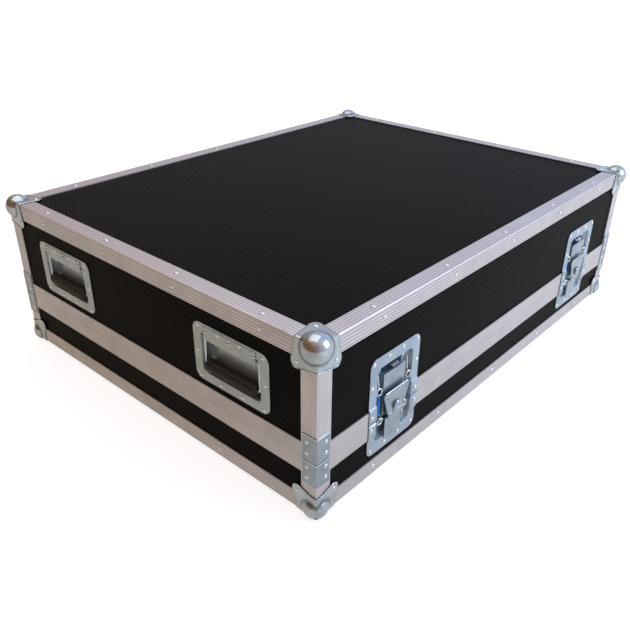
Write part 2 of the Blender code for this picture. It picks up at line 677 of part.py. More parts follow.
    # The wing folds outward about its hinge pin and leaves a keyhole for the hub.
    wing_top = SPINDLE_RISE + WING_RISE
    wing_right = [(WING_ROOT_HALF, hinge_z), (WING_TIP_HALF, wing_top - WING_SIDE_DROP)]
    wing_right += [(WING_TIP_HALF - FIT, wing_top - WING_EASE), (WING_TIP_HALF - WING_EASE, wing_top)]
    wing_outline = wing_right + [(-a, b) for a, b in reversed(wing_right)]
    on_hinge = {"parent": root, "origin": (0, hinge_depth, hinge_z)}
    wing = slab(prefix + "_wing", "y", wing_face, WING_BACK, wing_outline, material="zinc_steel", **on_hinge)
    for side_name, side in (("left", -1), ("right", 1)):
        span = sorted((side * (HUB_RADIUS + 4 * FIT), side * KNUCKLE_END))
        knuckle_name = prefix + "_knuckle_" + side_name
        shape(wing, "UNION", drum(knuckle_name, "x", *span, hinge_point, WING_KNUCKLE, 10, parent=root))
    hub_clear = HUB_RADIUS + 3 * FIT
    keyhole_outline = arc((0, SPINDLE_RISE), hub_clear, 0, 180, 10)
    keyhole_outline += [(-hub_clear, hinge_z - REACH), (hub_clear, hinge_z - REACH)]
    keyhole = slab(prefix + "_keyhole", "y", -REACH, 0, keyhole_outline, parent=root)
    hole_span = (-PIN_HALF - FIT, PIN_HALF + FIT)
    pin_hole = drum(prefix + "_pin_hole", "x", *hole_span, hinge_point, WING_PIN + FIT, 6, parent=root)
    shape(wing, "DIFFERENCE", keyhole, pin_hole)
    for side_name, side in (("left", -1), ("right", 1)):
        hole_point = (side * WING_HOLE_SIDE, SPINDLE_RISE + WING_HOLE_RISE)
        hole_name = prefix + "_wing_hole_" + side_name
        shape(wing, "DIFFERENCE", drum(hole_name, "y", -REACH, 0, hole_point, WING_HOLE_RADIUS, 8, parent=root))

    # Clearance for the pan through the boards and the rims behind it.
    clear_half = LATCH_PAN_WIDTH / 2 + PAN_GAP
    z_span = (-LATCH_PAN_FALL - PAN_GAP, LATCH_PAN_RISE + PAN_GAP)
    notch = box(prefix + "_notch", (-clear_half, clear_half), (-REACH, LATCH_NOTCH_BACK), z_span, parent=root)
    side_name = "front" if y_side < 0 else "back"
    for half in ("tray", "lid"):
        shape(walls[half + "_wall_" + side_name], "DIFFERENCE", notch)
        shape(corner_frames[half + "_frame_" + place_name], "DIFFERENCE", notch)


for end_name, x_side in (("left", -1), ("right", 1)):
    latch("front_" + end_name, x_side * LATCH_SPREAD, -1)
    latch("back_" + end_name, x_side * LATCH_SPREAD, 1)


def bail_path():
    # Round the loop from the hinge rod down to the rod inside the grip and back.
    low = BAIL_HINGE_RISE - BAIL_DROP
    outline = rounded(-BAIL_HALF, BAIL_HALF, low, BAIL_HINGE_RISE, BAIL_BEND, 3)
    return tuple((u, BAIL_HINGE_DEPTH, z) for u, z in outline)


def handle(place_name, x_side, y_offset):
    prefix = "handle_" + place_name
    turn = -90 if x_side < 0 else 90
    root = mount(prefix + "_mount", (x_side * HALF_LENGTH, y_offset, HANDLE_Z), turn)

    def pan_outline(depth, grow):
        shrink = (depth - PANEL_FLANGE_FACE) * HANDLE_PAN_DRAFT
        half = HANDLE_PAN_HALF - shrink + grow
        low = HANDLE_PAN_LOW + shrink - grow
        return rounded(-half, half, low, HANDLE_PAN_HIGH - shrink + grow, HANDLE_PAN_CORNER, 3)

    # Dish: flange, tapered pan, hinge cover strip with three embossed barrels, and hinge knuckles.
    half_width = HANDLE_WIDTH / 2
    half_height = HANDLE_HEIGHT / 2
    flange_back = PANEL_FLANGE_FACE + SHEET
    outline = rounded(-half_width, half_width, -half_height, half_height, HANDLE_CORNER, 4)
    options = {"material": "zinc_steel", "parent": root}
    dish = slab(prefix + "_dish", "y", PANEL_FLANGE_FACE, flange_back, outline, **options)
    start = PANEL_FLANGE_FACE + SHEET / 2
    back_of_pan = HANDLE_PAN_FLOOR + SHEET
    near = pan_outline(start, SHEET)
    far = pan_outline(back_of_pan, SHEET)
    pan = loft(prefix + "_pan", start, back_of_pan, near, far, parent=root)
    start = PANEL_FLANGE_FACE - SHEET
    near = pan_outline(start, 0)
    far = pan_outline(HANDLE_PAN_FLOOR, 0)
    hollow = loft(prefix + "_hollow", start, HANDLE_PAN_FLOOR, near, far, parent=root)
    shape(dish, "UNION", pan)
    shape(dish, "DIFFERENCE", hollow)
    strap_face = PANEL_FLANGE_FACE - STRAP_PROUD
    strap_back = PANEL_FLANGE_FACE + FIT
    strap_span = (-STRAP_HALF, STRAP_HALF)
    strap = box(prefix + "_strap", strap_span, (strap_face, strap_back), (STRAP_LOW, STRAP_HIGH), parent=root)
    shape(dish, "UNION", strap)
    barrel_outline = arc((PANEL_FLANGE_FACE + SHEET / 2, BARREL_RISE), BARREL_RADIUS, 90, 270, 6)
    knuckle_low = BAIL_HINGE_RISE - BAIL_ROD - FIT - KNUCKLE_WALL
    knuckle_high = BAIL_HINGE_RISE + BAIL_ROD + FIT + KNUCKLE_WALL
    knuckle_back = BAIL_HINGE_DEPTH + BAIL_ROD + FIT + KNUCKLE_WALL
    for index in (-1, 0, 1):
        middle = index * BARREL_SPREAD
        span = (middle - BARREL_HALF, middle + BARREL_HALF)
        barrel = slab("%s_barrel_%d" % (prefix, index + 1), "x", *span, barrel_outline, parent=root)
        x_span = (middle - KNUCKLE_HALF, middle + KNUCKLE_HALF)
        y_span = (PANEL_FLANGE_FACE - FIT, knuckle_back)
        z_span = (knuckle_low, knuckle_high)
        knuckle = box("%s_knuckle_%d" % (prefix, index + 1), x_span, y_span, z_span, parent=root)
        shape(dish, "UNION", barrel, knuckle)
    hinge_point = (BAIL_HINGE_DEPTH, BAIL_HINGE_RISE)
    rod_end = BARREL_SPREAD + KNUCKLE_HALF + 2 * FIT
    rod_hole = drum(prefix + "_rod_hole", "x", -rod_end, rod_end, hinge_point, BAIL_ROD + FIT, 10, parent=root)
    shape(dish, "DIFFERENCE", rod_hole)

    # Bail with its moulded grip; the origin sits on the hinge rod.
    grip_z = BAIL_HINGE_RISE - BAIL_DROP
    grip_outline = []
    for i in range(2 * GRIP_FLUTES):
        angle = math.pi * i / GRIP_FLUTES
        reach = GRIP_RADIUS - GRIP_FLUTE_DEPTH * (i % 2)
        grip_outline.append((BAIL_HINGE_DEPTH + reach * math.cos(angle), grip_z + reach * math.sin(angle)))
    on_hinge = {"parent": root, "origin": (0, BAIL_HINGE_DEPTH, BAIL_HINGE_RISE)}
    on_hinge["material"] = "rubber_grip"
    bail = slab(prefix + "_bail", "x", -GRIP_HALF, GRIP_HALF, grip_outline, **on_hinge)
    loop = from_mesh(round_bar(bail_path(), BAIL_ROD), Matrix.Identity(4))
    bar = add_piece(prefix + "_bar", loop, parent=root)
    shape(bail, "UNION", bar)

    clear_half = HANDLE_PAN_HALF + PAN_GAP
    z_span = (HANDLE_PAN_LOW - PAN_GAP, HANDLE_PAN_HIGH + PAN_GAP)
    opening = box(prefix + "_opening", (-clear_half, clear_half), (-REACH, REACH), z_span, parent=root)
    shape(walls["lid_wall_left" if x_side < 0 else "lid_wall_right"], "DIFFERENCE", opening)


for end_name, x_side in (("left", -1), ("right", 1)):
    handle(end_name + "_front", x_side, -HANDLE_SPREAD)
    handle(end_name + "_back", x_side, HANDLE_SPREAD)
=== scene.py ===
import math

import bmesh
import bpy
import numpy as np
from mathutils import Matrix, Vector


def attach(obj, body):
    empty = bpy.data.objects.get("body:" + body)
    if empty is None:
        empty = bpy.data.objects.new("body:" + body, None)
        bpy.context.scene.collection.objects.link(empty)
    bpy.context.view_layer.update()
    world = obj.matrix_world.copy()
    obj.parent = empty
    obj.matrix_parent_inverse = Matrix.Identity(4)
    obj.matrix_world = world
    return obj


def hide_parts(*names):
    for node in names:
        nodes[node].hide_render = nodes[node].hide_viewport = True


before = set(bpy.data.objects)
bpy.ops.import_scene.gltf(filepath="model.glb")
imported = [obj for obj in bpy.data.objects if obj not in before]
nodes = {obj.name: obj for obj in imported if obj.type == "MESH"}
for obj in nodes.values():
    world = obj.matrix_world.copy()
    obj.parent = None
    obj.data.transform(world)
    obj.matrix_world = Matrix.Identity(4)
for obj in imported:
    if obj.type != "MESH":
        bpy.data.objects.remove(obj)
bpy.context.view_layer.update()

scene = bpy.context.scene
mm = 0.001

# The case as it stands: long sides along X, handle ends at -X and +X, joint line between tray and lid.
case = {
    "halfLength": 516 * mm,
    "halfWidth": 402.5 * mm,
    "bottom": 8 * mm,
    "top": 309 * mm,
    "joint": 111.7 * mm,
    "fit": 0.15 * mm,
    "latchSpread": 334 * mm,
    "corners": {"front_left": (-1, -1), "front_right": (1, -1), "back_left": (-1, 1), "back_right": (1, 1)},
}
length, width = case["halfLength"], case["halfWidth"]


def linear(hexColour):
    # sRGB to linear light: the low part is a straight line, the rest a 2.4 power.
    parts = np.array([int(hexColour[i:i + 2], 16) for i in (1, 3, 5)]) / 255
    bright = ((parts + 0.055) / 1.055) ** 2.4
    return (*np.where(parts <= 0.04045, parts / 12.92, bright).tolist(), 1.0)


def addNode(tree, kind, inputs=None, **settings):
    # A node with its settings; an input takes a value or the socket that feeds it.
    node = tree.nodes.new(kind)
    for key, value in settings.items():
        setattr(node, key, value)
    for key, value in (inputs or {}).items():
        if isinstance(value, bpy.types.NodeSocket):
            tree.links.new(value, node.inputs[key])
        else:
            node.inputs[key].default_value = value
    return node


def newFinish(name, colour, metallic=0.0, roughness=0.5):
    # A shader with its plain values, and the place on the piece that its patterns are drawn from.
    material = bpy.data.materials.new(name)
    material.use_nodes = True
    tree = material.node_tree
    shader = tree.nodes["Principled BSDF"]
    shader.inputs["Base Color"].default_value = linear(colour)
    shader.inputs["Metallic"].default_value = metallic
    shader.inputs["Roughness"].default_value = roughness
    where = addNode(tree, "ShaderNodeTexCoord").outputs["Object"]
    return material, tree, shader, where


board = {
    "pitch": 7.6 * mm,  # hexagons are 3.8 mm on the real film, drawn twice as coarse so that they show
    "flank": (0.28, 0.50),  # a hexagon falls away between these distances from its centre, in pitches
    "press": 0.2 * mm,
    "relief": 0.9,
    "dark": "#020202",
    "light": "#11100f",
    "scuff": 120 * mm,
    "worn": (0.38, 0.72, 0.25),  # noise where wear begins and is full, and how far it pales the film
    "roughness": {"groove": 0.62, "hexagon": 0.44},
    "specular": 0.03,
}


def phenolicBoard(name, across, along):
    # Phenolic film on birch plywood, hot pressed with a wire mesh: near black with a brown cast and a
    # field of small hexagons that catch the light one by one.
    material, tree, shader, where = newFinish(name, board["dark"])
    shader.inputs["Specular IOR Level"].default_value = board["specular"]
    parts = addNode(tree, "ShaderNodeSeparateXYZ", {0: where})
    flat = addNode(tree, "ShaderNodeCombineXYZ", {0: parts.outputs[across], 1: parts.outputs[along]})
    pitch = {0: flat.outputs[0], 3: 1 / board["pitch"]}
    scaled = addNode(tree, "ShaderNodeVectorMath", pitch, operation="SCALE")
    # The centres of all hexagons are two lattices of 1 by root 3, the second moved by half a cell.
    half = (0.5, math.sqrt(3) / 2, 1.0)
    halfCell = {0: scaled.outputs[0], 1: (0.5, math.sqrt(3) / 2, 0.0)}
    moved = addNode(tree, "ShaderNodeVectorMath", halfCell, operation="ADD")
    reach = []
    for lattice in (scaled, moved):
        limits = {0: lattice.outputs[0], 1: half, 2: tuple(-v for v in half)}
        cell = addNode(tree, "ShaderNodeVectorMath", limits, operation="WRAP")
        radius = addNode(tree, "ShaderNodeVectorMath", {0: cell.outputs[0]}, operation="LENGTH")
        reach.append(radius.outputs["Value"])
    nearest = addNode(tree, "ShaderNodeMath", {0: reach[0], 1: reach[1]}, operation="MINIMUM").outputs[0]
    hexagonEdge, grooveEdge = board["flank"]
    flank = {0: nearest, 1: hexagonEdge, 2: grooveEdge, 3: 1.0, 4: 0.0}
    height = addNode(tree, "ShaderNodeMapRange", flank).outputs[0]
    noise = {"Vector": where, "Scale": 1 / board["scuff"], "Detail": 6.0}
    wear = addNode(tree, "ShaderNodeTexNoise", noise).outputs[0]
    begin, full, pale = board["worn"]
    tone = addNode(tree, "ShaderNodeMapRange", {0: wear, 1: begin, 2: full, 4: pale}).outputs[0]
    pressed = {0: height, 6: linear(board["dark"]), 7: linear(board["light"])}
    pressed = addNode(tree, "ShaderNodeMix", pressed, data_type="RGBA").outputs[2]
    colour = {0: tone, 6: pressed, 7: linear(board["light"])}
    colour = addNode(tree, "ShaderNodeMix", colour, data_type="RGBA").outputs[2]
    tree.links.new(colour, shader.inputs["Base Color"])
    rough = {0: height, 3: board["roughness"]["groove"], 4: board["roughness"]["hexagon"]}
    rough = addNode(tree, "ShaderNodeMapRange", rough).outputs[0]
    tree.links.new(rough, shader.inputs["Roughness"])
    relief = {"Strength": board["relief"], "Distance": board["press"], "Height": height}
    bump = addNode(tree, "ShaderNodeBump", relief)
    tree.links.new(bump.outputs[0], shader.inputs["Normal"])
    return material


aluminium = {
    "crest": "#c8c6c9",
    "dull": "#bcbabd",
    # The groove colour is painted shade in the ribs' grooves.
    "groove": "#a5a3a6",
    "metallic": 0.85,
    "roughness": 0.38,
    "haze": 45 * mm,
    "hazy": (0.3, 0.7),  # noise where a hazy patch begins and is full
    "grain": 1.1 * mm,  # the etched grain is far finer on the real bar, drawn coarse so that it shows
    "etch": 0.02 * mm,
}


def extrudedAluminium():
    # Aluminium pressed through a die and satin anodised: soft grey ribs with painted shade darkening the
    # grooves, and faint hazy patches.
    crest, roughness = aluminium["crest"], aluminium["roughness"]
    material, tree, shader, where = newFinish("extrudedAluminium", crest, aluminium["metallic"], roughness)
    noise = {"Vector": where, "Scale": 1 / aluminium["haze"], "Detail": 4.0}
    haze = addNode(tree, "ShaderNodeTexNoise", noise).outputs[0]
    begin, full = aluminium["hazy"]
    patch = addNode(tree, "ShaderNodeMapRange", {0: haze, 1: begin, 2: full}).outputs[0]
    body = {0: patch, 6: linear(crest), 7: linear(aluminium["dull"])}
    body = addNode(tree, "ShaderNodeMix", body, data_type="RGBA").outputs[2]
    # Painted shade in the grooves, weighted by the groove attribute.
    groove = addNode(tree, "ShaderNodeAttribute", attribute_name="groove").outputs["Fac"]
    colour = {0: groove, 6: body, 7: linear(aluminium["groove"])}
    colour = addNode(tree, "ShaderNodeMix", colour, data_type="RGBA").outputs[2]
    tree.links.new(colour, shader.inputs["Base Color"])
    rough = {0: haze, 1: begin, 2: full, 3: roughness - 0.04, 4: roughness + 0.08}
    rough = addNode(tree, "ShaderNodeMapRange", rough).outputs[0]
    tree.links.new(rough, shader.inputs["Roughness"])
    noise = {"Vector": where, "Scale": 1 / aluminium["grain"], "Detail": 2.0}
    grain = addNode(tree, "ShaderNodeTexNoise", noise).outputs[0]
    bump = addNode(tree, "ShaderNodeBump", {"Strength": 0.25, "Distance": aluminium["etch"], "Height": grain})
    tree.links.new(bump.outputs[0], shader.inputs["Normal"])
    return material


zinc = {
    "cloudy": (0.32, 0.68),  # noise where the film begins to cloud and is full
    "glossy": (0.3, 0.7),  # the same for its change of gloss
    # The colour of the painted shade in the ball corners' fillets.
    "paintedShade": "#2a3136",
    "film": 0.03 * mm,
}


def zincedSteel(name, pale, deep, roughness, cloud=18 * mm, metallic=1.0):
    # Sheet or wire steel, bright zinc plated and blue passivated: a cold bluish sheen under a cloudy film,
    # with a dark line of painted shade where the sheet is drawn into a tight fillet.
    material, tree, shader, where = newFinish(name, pale, metallic, roughness)
    noise = {"Vector": where, "Scale": 1 / cloud, "Detail": 5.0}
    film = addNode(tree, "ShaderNodeTexNoise", noise).outputs[0]
    begin, full = zinc["cloudy"]
    patch = addNode(tree, "ShaderNodeMapRange", {0: film, 1: begin, 2: full}).outputs[0]
    plated = {0: patch, 6: linear(pale), 7: linear(deep)}
    plated = addNode(tree, "ShaderNodeMix", plated, data_type="RGBA").outputs[2]
    # Painted shade in the ball corners' fillets, weighted by the groove attribute.
    paintedShade = addNode(tree, "ShaderNodeAttribute", attribute_name="groove").outputs["Fac"]
    colour = {0: paintedShade, 6: plated, 7: linear(zinc["paintedShade"])}
    colour = addNode(tree, "ShaderNodeMix", colour, data_type="RGBA").outputs[2]
    tree.links.new(colour, shader.inputs["Base Color"])
    begin, full = zinc["glossy"]
    rough = {0: film, 1: begin, 2: full, 3: roughness - 0.05, 4: roughness + 0.07}
    rough = addNode(tree, "ShaderNodeMapRange", rough).outputs[0]
    tree.links.new(rough, shader.inputs["Roughness"])
    bump = addNode(tree, "ShaderNodeBump", {"Strength": 0.3, "Distance": zinc["film"], "Height": film})
    tree.links.new(bump.outputs[0], shader.inputs["Normal"])
    return material


rubber = {
    "mean": "#111111",
    "dark": "#0c0c0c",
    "light": "#191919",
    "roughness": 0.55,
    "grain": 0.7 * mm,  # about a third of this on the real grip, drawn coarser so that it shows
    "etch": 0.05 * mm,
}


def mouldedRubber():
    # Black thermoplastic rubber moulded over the bar: matt, with a fine spark-eroded grain.
    material, tree, shader, where = newFinish("mouldedRubber", rubber["mean"], 0.0, rubber["roughness"])
    noise = {"Vector": where, "Scale": 1 / rubber["grain"], "Detail": 2.0}
    grain = addNode(tree, "ShaderNodeTexNoise", noise).outputs[0]
    colour = {0: grain, 6: linear(rubber["dark"]), 7: linear(rubber["light"])}
    colour = addNode(tree, "ShaderNodeMix", colour, data_type="RGBA").outputs[2]
    tree.links.new(colour, shader.inputs["Base Color"])
    bump = addNode(tree, "ShaderNodeBump", {"Strength": 0.4, "Distance": rubber["etch"], "Height": grain})
    tree.links.new(bump.outputs[0], shader.inputs["Normal"])
    return material


finishes = {
    "boardTop": phenolicBoard("phenolicBoardTop", 0, 1),
    "boardLong": phenolicBoard("phenolicBoardLong", 0, 2),
    "boardEnd": phenolicBoard("phenolicBoardEnd", 1, 2),
    "aluminium": extrudedAluminium(),
    "dish": zincedSteel("zincedPressedSteel", "#a2b2bd", "#8fa2af", 0.32, 30 * mm, 0.55),
    # A lighter copy of the dish steel for the handles' dishes and straps, painted light that lifts the shade
    # in their deep recesses.
    "handleDish": zincedSteel("zincedPressedSteelPaintedLight", "#afbabe", "#9daaae", 0.32, 30 * mm, 0.55),
    "ball": zincedSteel("zincedDrawnSteel", "#b1bbc1", "#97a3ab", 0.18, 24 * mm),
    "brace": zincedSteel("zincedFoldedSteel", "#97a4ad", "#8797a2", 0.30, 18 * mm, 0.8),
    "bright": zincedSteel("zincedTurnedSteel", "#c3cace", "#b0bbc4", 0.22),
    "blue": zincedSteel("bluePassivatedSpring", "#3f8fdc", "#1d5fb4", 0.24, 12 * mm, 0.6),
    # A dark sheet put where the latch's recess lies in shade: painted shadow.
    "shadow": zincedSteel("paintedShadowSheet", "#16304e", "#0c1c30", 0.45, 12 * mm),
    "rivet": zincedSteel("zincedRivetSteel", "#cfd3d6", "#c0c6cc", 0.25, 6 * mm),
    "rubber": mouldedRubber(),
}
print("finishes ready")


def makePiece(name, body, finish, grids, replaced=(), wall=0.0, bevel=0.0, sharp=35, outward=None):
    # A grid is rows of points; each point is joined to the next in its row and in the next row by a quad.
    # "ring" closes the rows, "loop" joins the last row to the first, "caps" fills the two end rows.
    points, quads, caps, groove, start = [], [], [], [], 0
    for grid in grids:
        rows, columns = grid["points"].shape[:2]
        i = np.arange(rows if grid.get("loop") else rows - 1)
        j = np.arange(columns if grid.get("ring") else columns - 1)
        i, j = np.meshgrid(i, j, indexing="ij")
        nextI, nextJ = (i + 1) % rows, (j + 1) % columns
        corners = [i * columns + j, i * columns + nextJ, nextI * columns + nextJ, nextI * columns + j]
        quads.append(start + np.stack(corners, axis=-1).reshape(-1, 4))
        if grid.get("caps"):
            caps.append(np.arange(start, start + columns)[::-1].tolist())
            caps.append(np.arange(start + (rows - 1) * columns, start + rows * columns).tolist())
        points.append(grid["points"].reshape(-1, 3))
        groove.append(np.broadcast_to(grid.get("groove", 0.0), (rows, columns)).ravel())
        start += rows * columns
    mesh = bpy.data.meshes.new(name)
    mesh.from_pydata(np.concatenate(points).tolist(), [], np.concatenate(quads).tolist() + caps)
    # The groove values weight painted shade: in the aluminium's grooves and where the ball corners rise out
    # of their ears.
    mesh.attributes.new("groove", "FLOAT", "POINT").data.foreach_set("value", np.concatenate(groove))
    bm = bmesh.new()
    bm.from_mesh(mesh)
    bmesh.ops.remove_doubles(bm, verts=bm.verts, dist=0.01 * mm)
    bmesh.ops.dissolve_degenerate(bm, edges=bm.edges, dist=0.01 * mm)
    bmesh.ops.recalc_face_normals(bm, faces=bm.faces)
    if outward is not None:
        facing = sum((face.normal * face.calc_area() for face in bm.faces), Vector())
        if facing.dot(Vector(outward)) < 0:
            bmesh.ops.reverse_faces(bm, faces=bm.faces)
    bm.to_mesh(mesh)
    bm.free()
    mesh.shade_smooth()
    mesh.set_sharp_from_angle(angle=math.radians(sharp))
    mesh.materials.append(finishes[finish])
    piece = bpy.data.objects.new(name, mesh)
    scene.collection.objects.link(piece)
    if wall:
        sheet = piece.modifiers.new("sheetWall", "SOLIDIFY")
        sheet.thickness = wall
        sheet.offset = -1.0
        sheet.use_even_offset = True
    if bevel:
        edge = piece.modifiers.new("softEdge", "BEVEL")
        edge.width = bevel
        edge.segments = 2
        edge.limit_method = "ANGLE"
        edge.angle_limit = math.radians(40)
        edge.harden_normals = True
    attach(piece, body)
    if replaced:
        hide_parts(*replaced)
    return piece


def wallPlace(face, along, height):
    # Origin on the envelope face with axes that run along the wall, into the case and up.
    return {
        "front": (np.array([along, -width, height]), np.array([[1, 0, 0], [0, 1, 0], [0, 0, 1.0]])),
        "back": (np.array([along, width, height]), np.array([[-1, 0, 0], [0, -1, 0], [0, 0, 1.0]])),
        "left": (np.array([-length, along, height]), np.array([[0, -1, 0], [1, 0, 0], [0, 0, 1.0]])),
        "right": (np.array([length, along, height]), np.array([[0, 1, 0], [-1, 0, 0], [0, 0, 1.0]])),
    }[face]


def toWorld(points, place):
    # Points in a wall's axes, turned and moved to where the wall is.
    origin, axes = place
    return points @ axes + origin


def prism(outline, axisIndex, low, high, **flags):
    # A closed outline in the other two axes, carried straight from low to high.
    outline = np.array(outline, float)
    points = np.empty((2, len(outline), 3))
    first, second = [i for i in range(3) if i != axisIndex]
    points[..., first], points[..., second] = outline[:, 0], outline[:, 1]
    points[..., axisIndex] = np.array([low, high])[:, None]
    return {"points": points, "ring": True, "caps": True, **flags}


def tube(path, radius, across, sides=8, closed=False):
    # Rings round a path: each is cos and sin times the radius, in the plane of two directions square to it.
    path = np.array(path, float)
    along = np.roll(path, -1, axis=0) - np.roll(path, 1, axis=0) if closed else np.gradient(path, axis=0)
    along /= np.linalg.norm(along, axis=1, keepdims=True)
    first = np.cross(along, np.array(across, float))
    first /= np.linalg.norm(first, axis=1, keepdims=True)
    second = np.cross(along, first)
    angles = np.linspace(0, 2 * math.pi, sides, endpoint=False)[:, None]
    rings = np.cos(angles) * first[:, None] + np.sin(angles) * second[:, None]
    return {"points": path[:, None] + radius * rings, "ring": True, "loop": closed, "caps": not closed}


def placed(grids, place):
    # Grids drawn in a wall's axes, put where they belong on the case.
    return [{**grid, "points": toWorld(grid["points"], place)} for grid in grids]


rivet = {"radius": 4.0 * mm, "height": 1.7 * mm, "sunk": 0.5 * mm, "rings": [0, 0, 32, 62, 84], "sides": 10}


def rivetDomes(places):
    # Domed heads: rings whose radius follows the cosine of their angle and whose height follows its sine.
    angles = np.linspace(0, 2 * math.pi, rivet["sides"], endpoint=False)
    lift = np.radians(rivet["rings"])
    radius = rivet["radius"] * np.cos(lift)[:, None]
    depth = -rivet["height"] * np.sin(lift)[:, None]
    depth[0] = rivet["sunk"]
    depth = np.broadcast_to(depth, (len(lift), len(angles)))
    dome = np.stack([radius * np.cos(angles), depth, radius * np.sin(angles)], axis=-1)
    heads = []
    for place, spots in places:
        for spot in spots:
            heads.append({"points": toWorld(dome + np.array(spot), place), "ring": True, "caps": True})
    return heads


camera = {
    "place": (-1.08555, -0.90703, 0.77657),
    "turn": (60.6334, -0.6658, -48.5714),
    "lens": 39.894,
    "shift": (-0.01277, 0.00833),
}
lens = bpy.data.cameras.new("camera")
lens.lens = camera["lens"]
lens.sensor_width = 36.0
lens.shift_x, lens.shift_y = camera["shift"]
lens.clip_start = 0.01
viewer = bpy.data.objects.new("camera", lens)
viewer.location = camera["place"]
viewer.rotation_euler = [math.radians(a) for a in camera["turn"]]
scene.collection.objects.link(viewer)
scene.camera = viewer
scene.view_settings.view_transform = "Standard"

studio = {
    "floorSize": 30.0,
    "floorColour": "#9c9c9c",
    "floorGlow": 0.80,
    # A painted reflection for metal: dim and warm toward the back left, white toward the front right.
    "mirrored": {"toward": (0.8, -0.6, 0.0), "warm": "#c9b89d", "cool": "#ffffff", "from": -0.6, "to": 0.4},
    "sky": {
        "toward": (0.80, -0.40, 0.45),
        "from": -0.6,
        "to": 0.8,
        "dim": 0.30,
        "full": 1.25,
        "warm": "#ffc890",
        "cool": "#dbe6ff",
    },
    "lamps": {
        "window": {
            "place": (1.3, -2.6, 1.7),
            "aim": (0, 0, 0.1),
            "size": 2.0,
            "power": 60,
            "colour": "#dbe6ff",
        },
        "ceiling": {
            "place": (-0.2, 0.7, 2.9),
            "aim": (0, 0, 0),
            "size": 2.8,
            "power": 30,
            "colour": "#fff6ec",
        },
    },
}


def paleFloor():
    # Painted studio floor: white to the camera, and it keeps the case's shadow. To metal it shows a painted
    # reflection, dim and warm toward the back left and white toward the front right, darkening the handle
    # end.
    material, tree, shader, where = newFinish("paintedFloor", studio["floorColour"], 0.0, 0.9)
    ray = addNode(tree, "ShaderNodeLightPath")
    seen = {0: ray.outputs["Is Camera Ray"], 1: ray.outputs["Is Glossy Ray"]}
    seen = addNode(tree, "ShaderNodeMath", seen, operation="MAXIMUM")
    seen = {0: seen.outputs[0], 1: ray.outputs["Is Transmission Ray"]}
    seen = addNode(tree, "ShaderNodeMath", seen, operation="MAXIMUM")
    lift = addNode(tree, "ShaderNodeMath", {0: seen.outputs[0], 1: studio["floorGlow"]}, operation="MULTIPLY")
    mirrored = studio["mirrored"]
    reach = addNode(tree, "ShaderNodeVectorMath", {0: where, 1: mirrored["toward"]}, operation="DOT_PRODUCT")
    reach = {0: reach.outputs["Value"], 1: mirrored["from"], 2: mirrored["to"]}
    reach = addNode(tree, "ShaderNodeMapRange", reach).outputs[0]
    pale = {0: reach, 6: linear(mirrored["warm"]), 7: linear(mirrored["cool"])}
    pale = addNode(tree, "ShaderNodeMix", pale, data_type="RGBA").outputs[2]
    pale = {0: ray.outputs["Is Camera Ray"], 6: pale, 7: linear("#ffffff")}
    pale = addNode(tree, "ShaderNodeMix", pale, data_type="RGBA").outputs[2]
    glow = addNode(tree, "ShaderNodeEmission", {"Color": pale, "Strength": lift.outputs[0]})
    both = addNode(tree, "ShaderNodeAddShader", {0: shader.outputs[0], 1: glow.outputs[0]})
    tree.links.new(both.outputs[0], tree.nodes["Material Output"].inputs["Surface"])
    return material


floorMesh = bpy.data.meshes.new("floor")
reach = studio["floorSize"]
floorCorners = [(-reach, -reach, 0), (reach, -reach, 0), (reach, reach, 0), (-reach, reach, 0)]
floorMesh.from_pydata(floorCorners, [], [(0, 1, 2, 3)])
floorMesh.materials.append(paleFloor())
floor = bpy.data.objects.new("floor", floorMesh)
scene.collection.objects.link(floor)

# The sky is bright and cool on the latch side, dim and warm on the handle side, and white to the camera.
horizon = studio["sky"]
world = bpy.data.worlds.new("studio")
world.use_nodes = True
scene.world = world
sky = world.node_tree
toward = Vector(horizon["toward"]).normalized()
facing = {0: addNode(sky, "ShaderNodeTexCoord").outputs["Generated"], 1: toward}
facing = addNode(sky, "ShaderNodeVectorMath", facing, operation="DOT_PRODUCT").outputs["Value"]
side = addNode(sky, "ShaderNodeMapRange", {0: facing, 1: horizon["from"], 2: horizon["to"]}).outputs[0]
tint = {0: side, 6: linear(horizon["warm"]), 7: linear(horizon["cool"])}
tint = addNode(sky, "ShaderNodeMix", tint, data_type="RGBA").outputs[2]
level = addNode(sky, "ShaderNodeMapRange", {0: side, 3: horizon["dim"], 4: horizon["full"]}).outputs[0]
straight = addNode(sky, "ShaderNodeLightPath").outputs["Is Camera Ray"]
tint = {0: straight, 6: tint, 7: linear("#ffffff")}
tint = addNode(sky, "ShaderNodeMix", tint, data_type="RGBA").outputs[2]
level = addNode(sky, "ShaderNodeMapRange", {0: straight, 3: level, 4: 1.0}).outputs[0]
sky.links.new(tint, sky.nodes["Background"].inputs["Color"])
sky.links.new(level, sky.nodes["Background"].inputs["Strength"])

for lampName, lamp in studio["lamps"].items():
    light = bpy.data.lights.new(lampName, "AREA")
    light.size = lamp["size"]
    light.energy = lamp["power"]
    light.color = linear(lamp["colour"])[:3]
    lightObject = bpy.data.objects.new(lampName, light)
    lightObject.location = lamp["place"]
    aim = Vector(lamp["aim"]) - Vector(lamp["place"])
    lightObject.rotation_euler = aim.to_track_quat("-Z", "Y").to_euler()
    scene.collection.objects.link(lightObject)
print("camera, floor and lights ready")

# Boards, wings, spindles and hooks keep their solids and get their finish here.
for nodeName, node in nodes.items():
    finish = "dish"
    if nodeName in ("tray_floor", "lid_top"):
        finish = "boardTop"
    elif "_wall_" in nodeName:
        finish = "boardLong" if nodeName.endswith(("front", "back")) else "boardEnd"
    elif "_edging_" in nodeName or "_frame_" in nodeName:
        finish = "aluminium"
    elif nodeName.endswith("_hook"):
        finish = "bright"
    elif nodeName.endswith(("_wing", "_spindle")):
        finish = "brace"
    elif nodeName.endswith("_bail"):
        finish = "rubber"
    node.data.materials.clear()
    node.data.materials.append(finishes[finish])
print("boards ready")


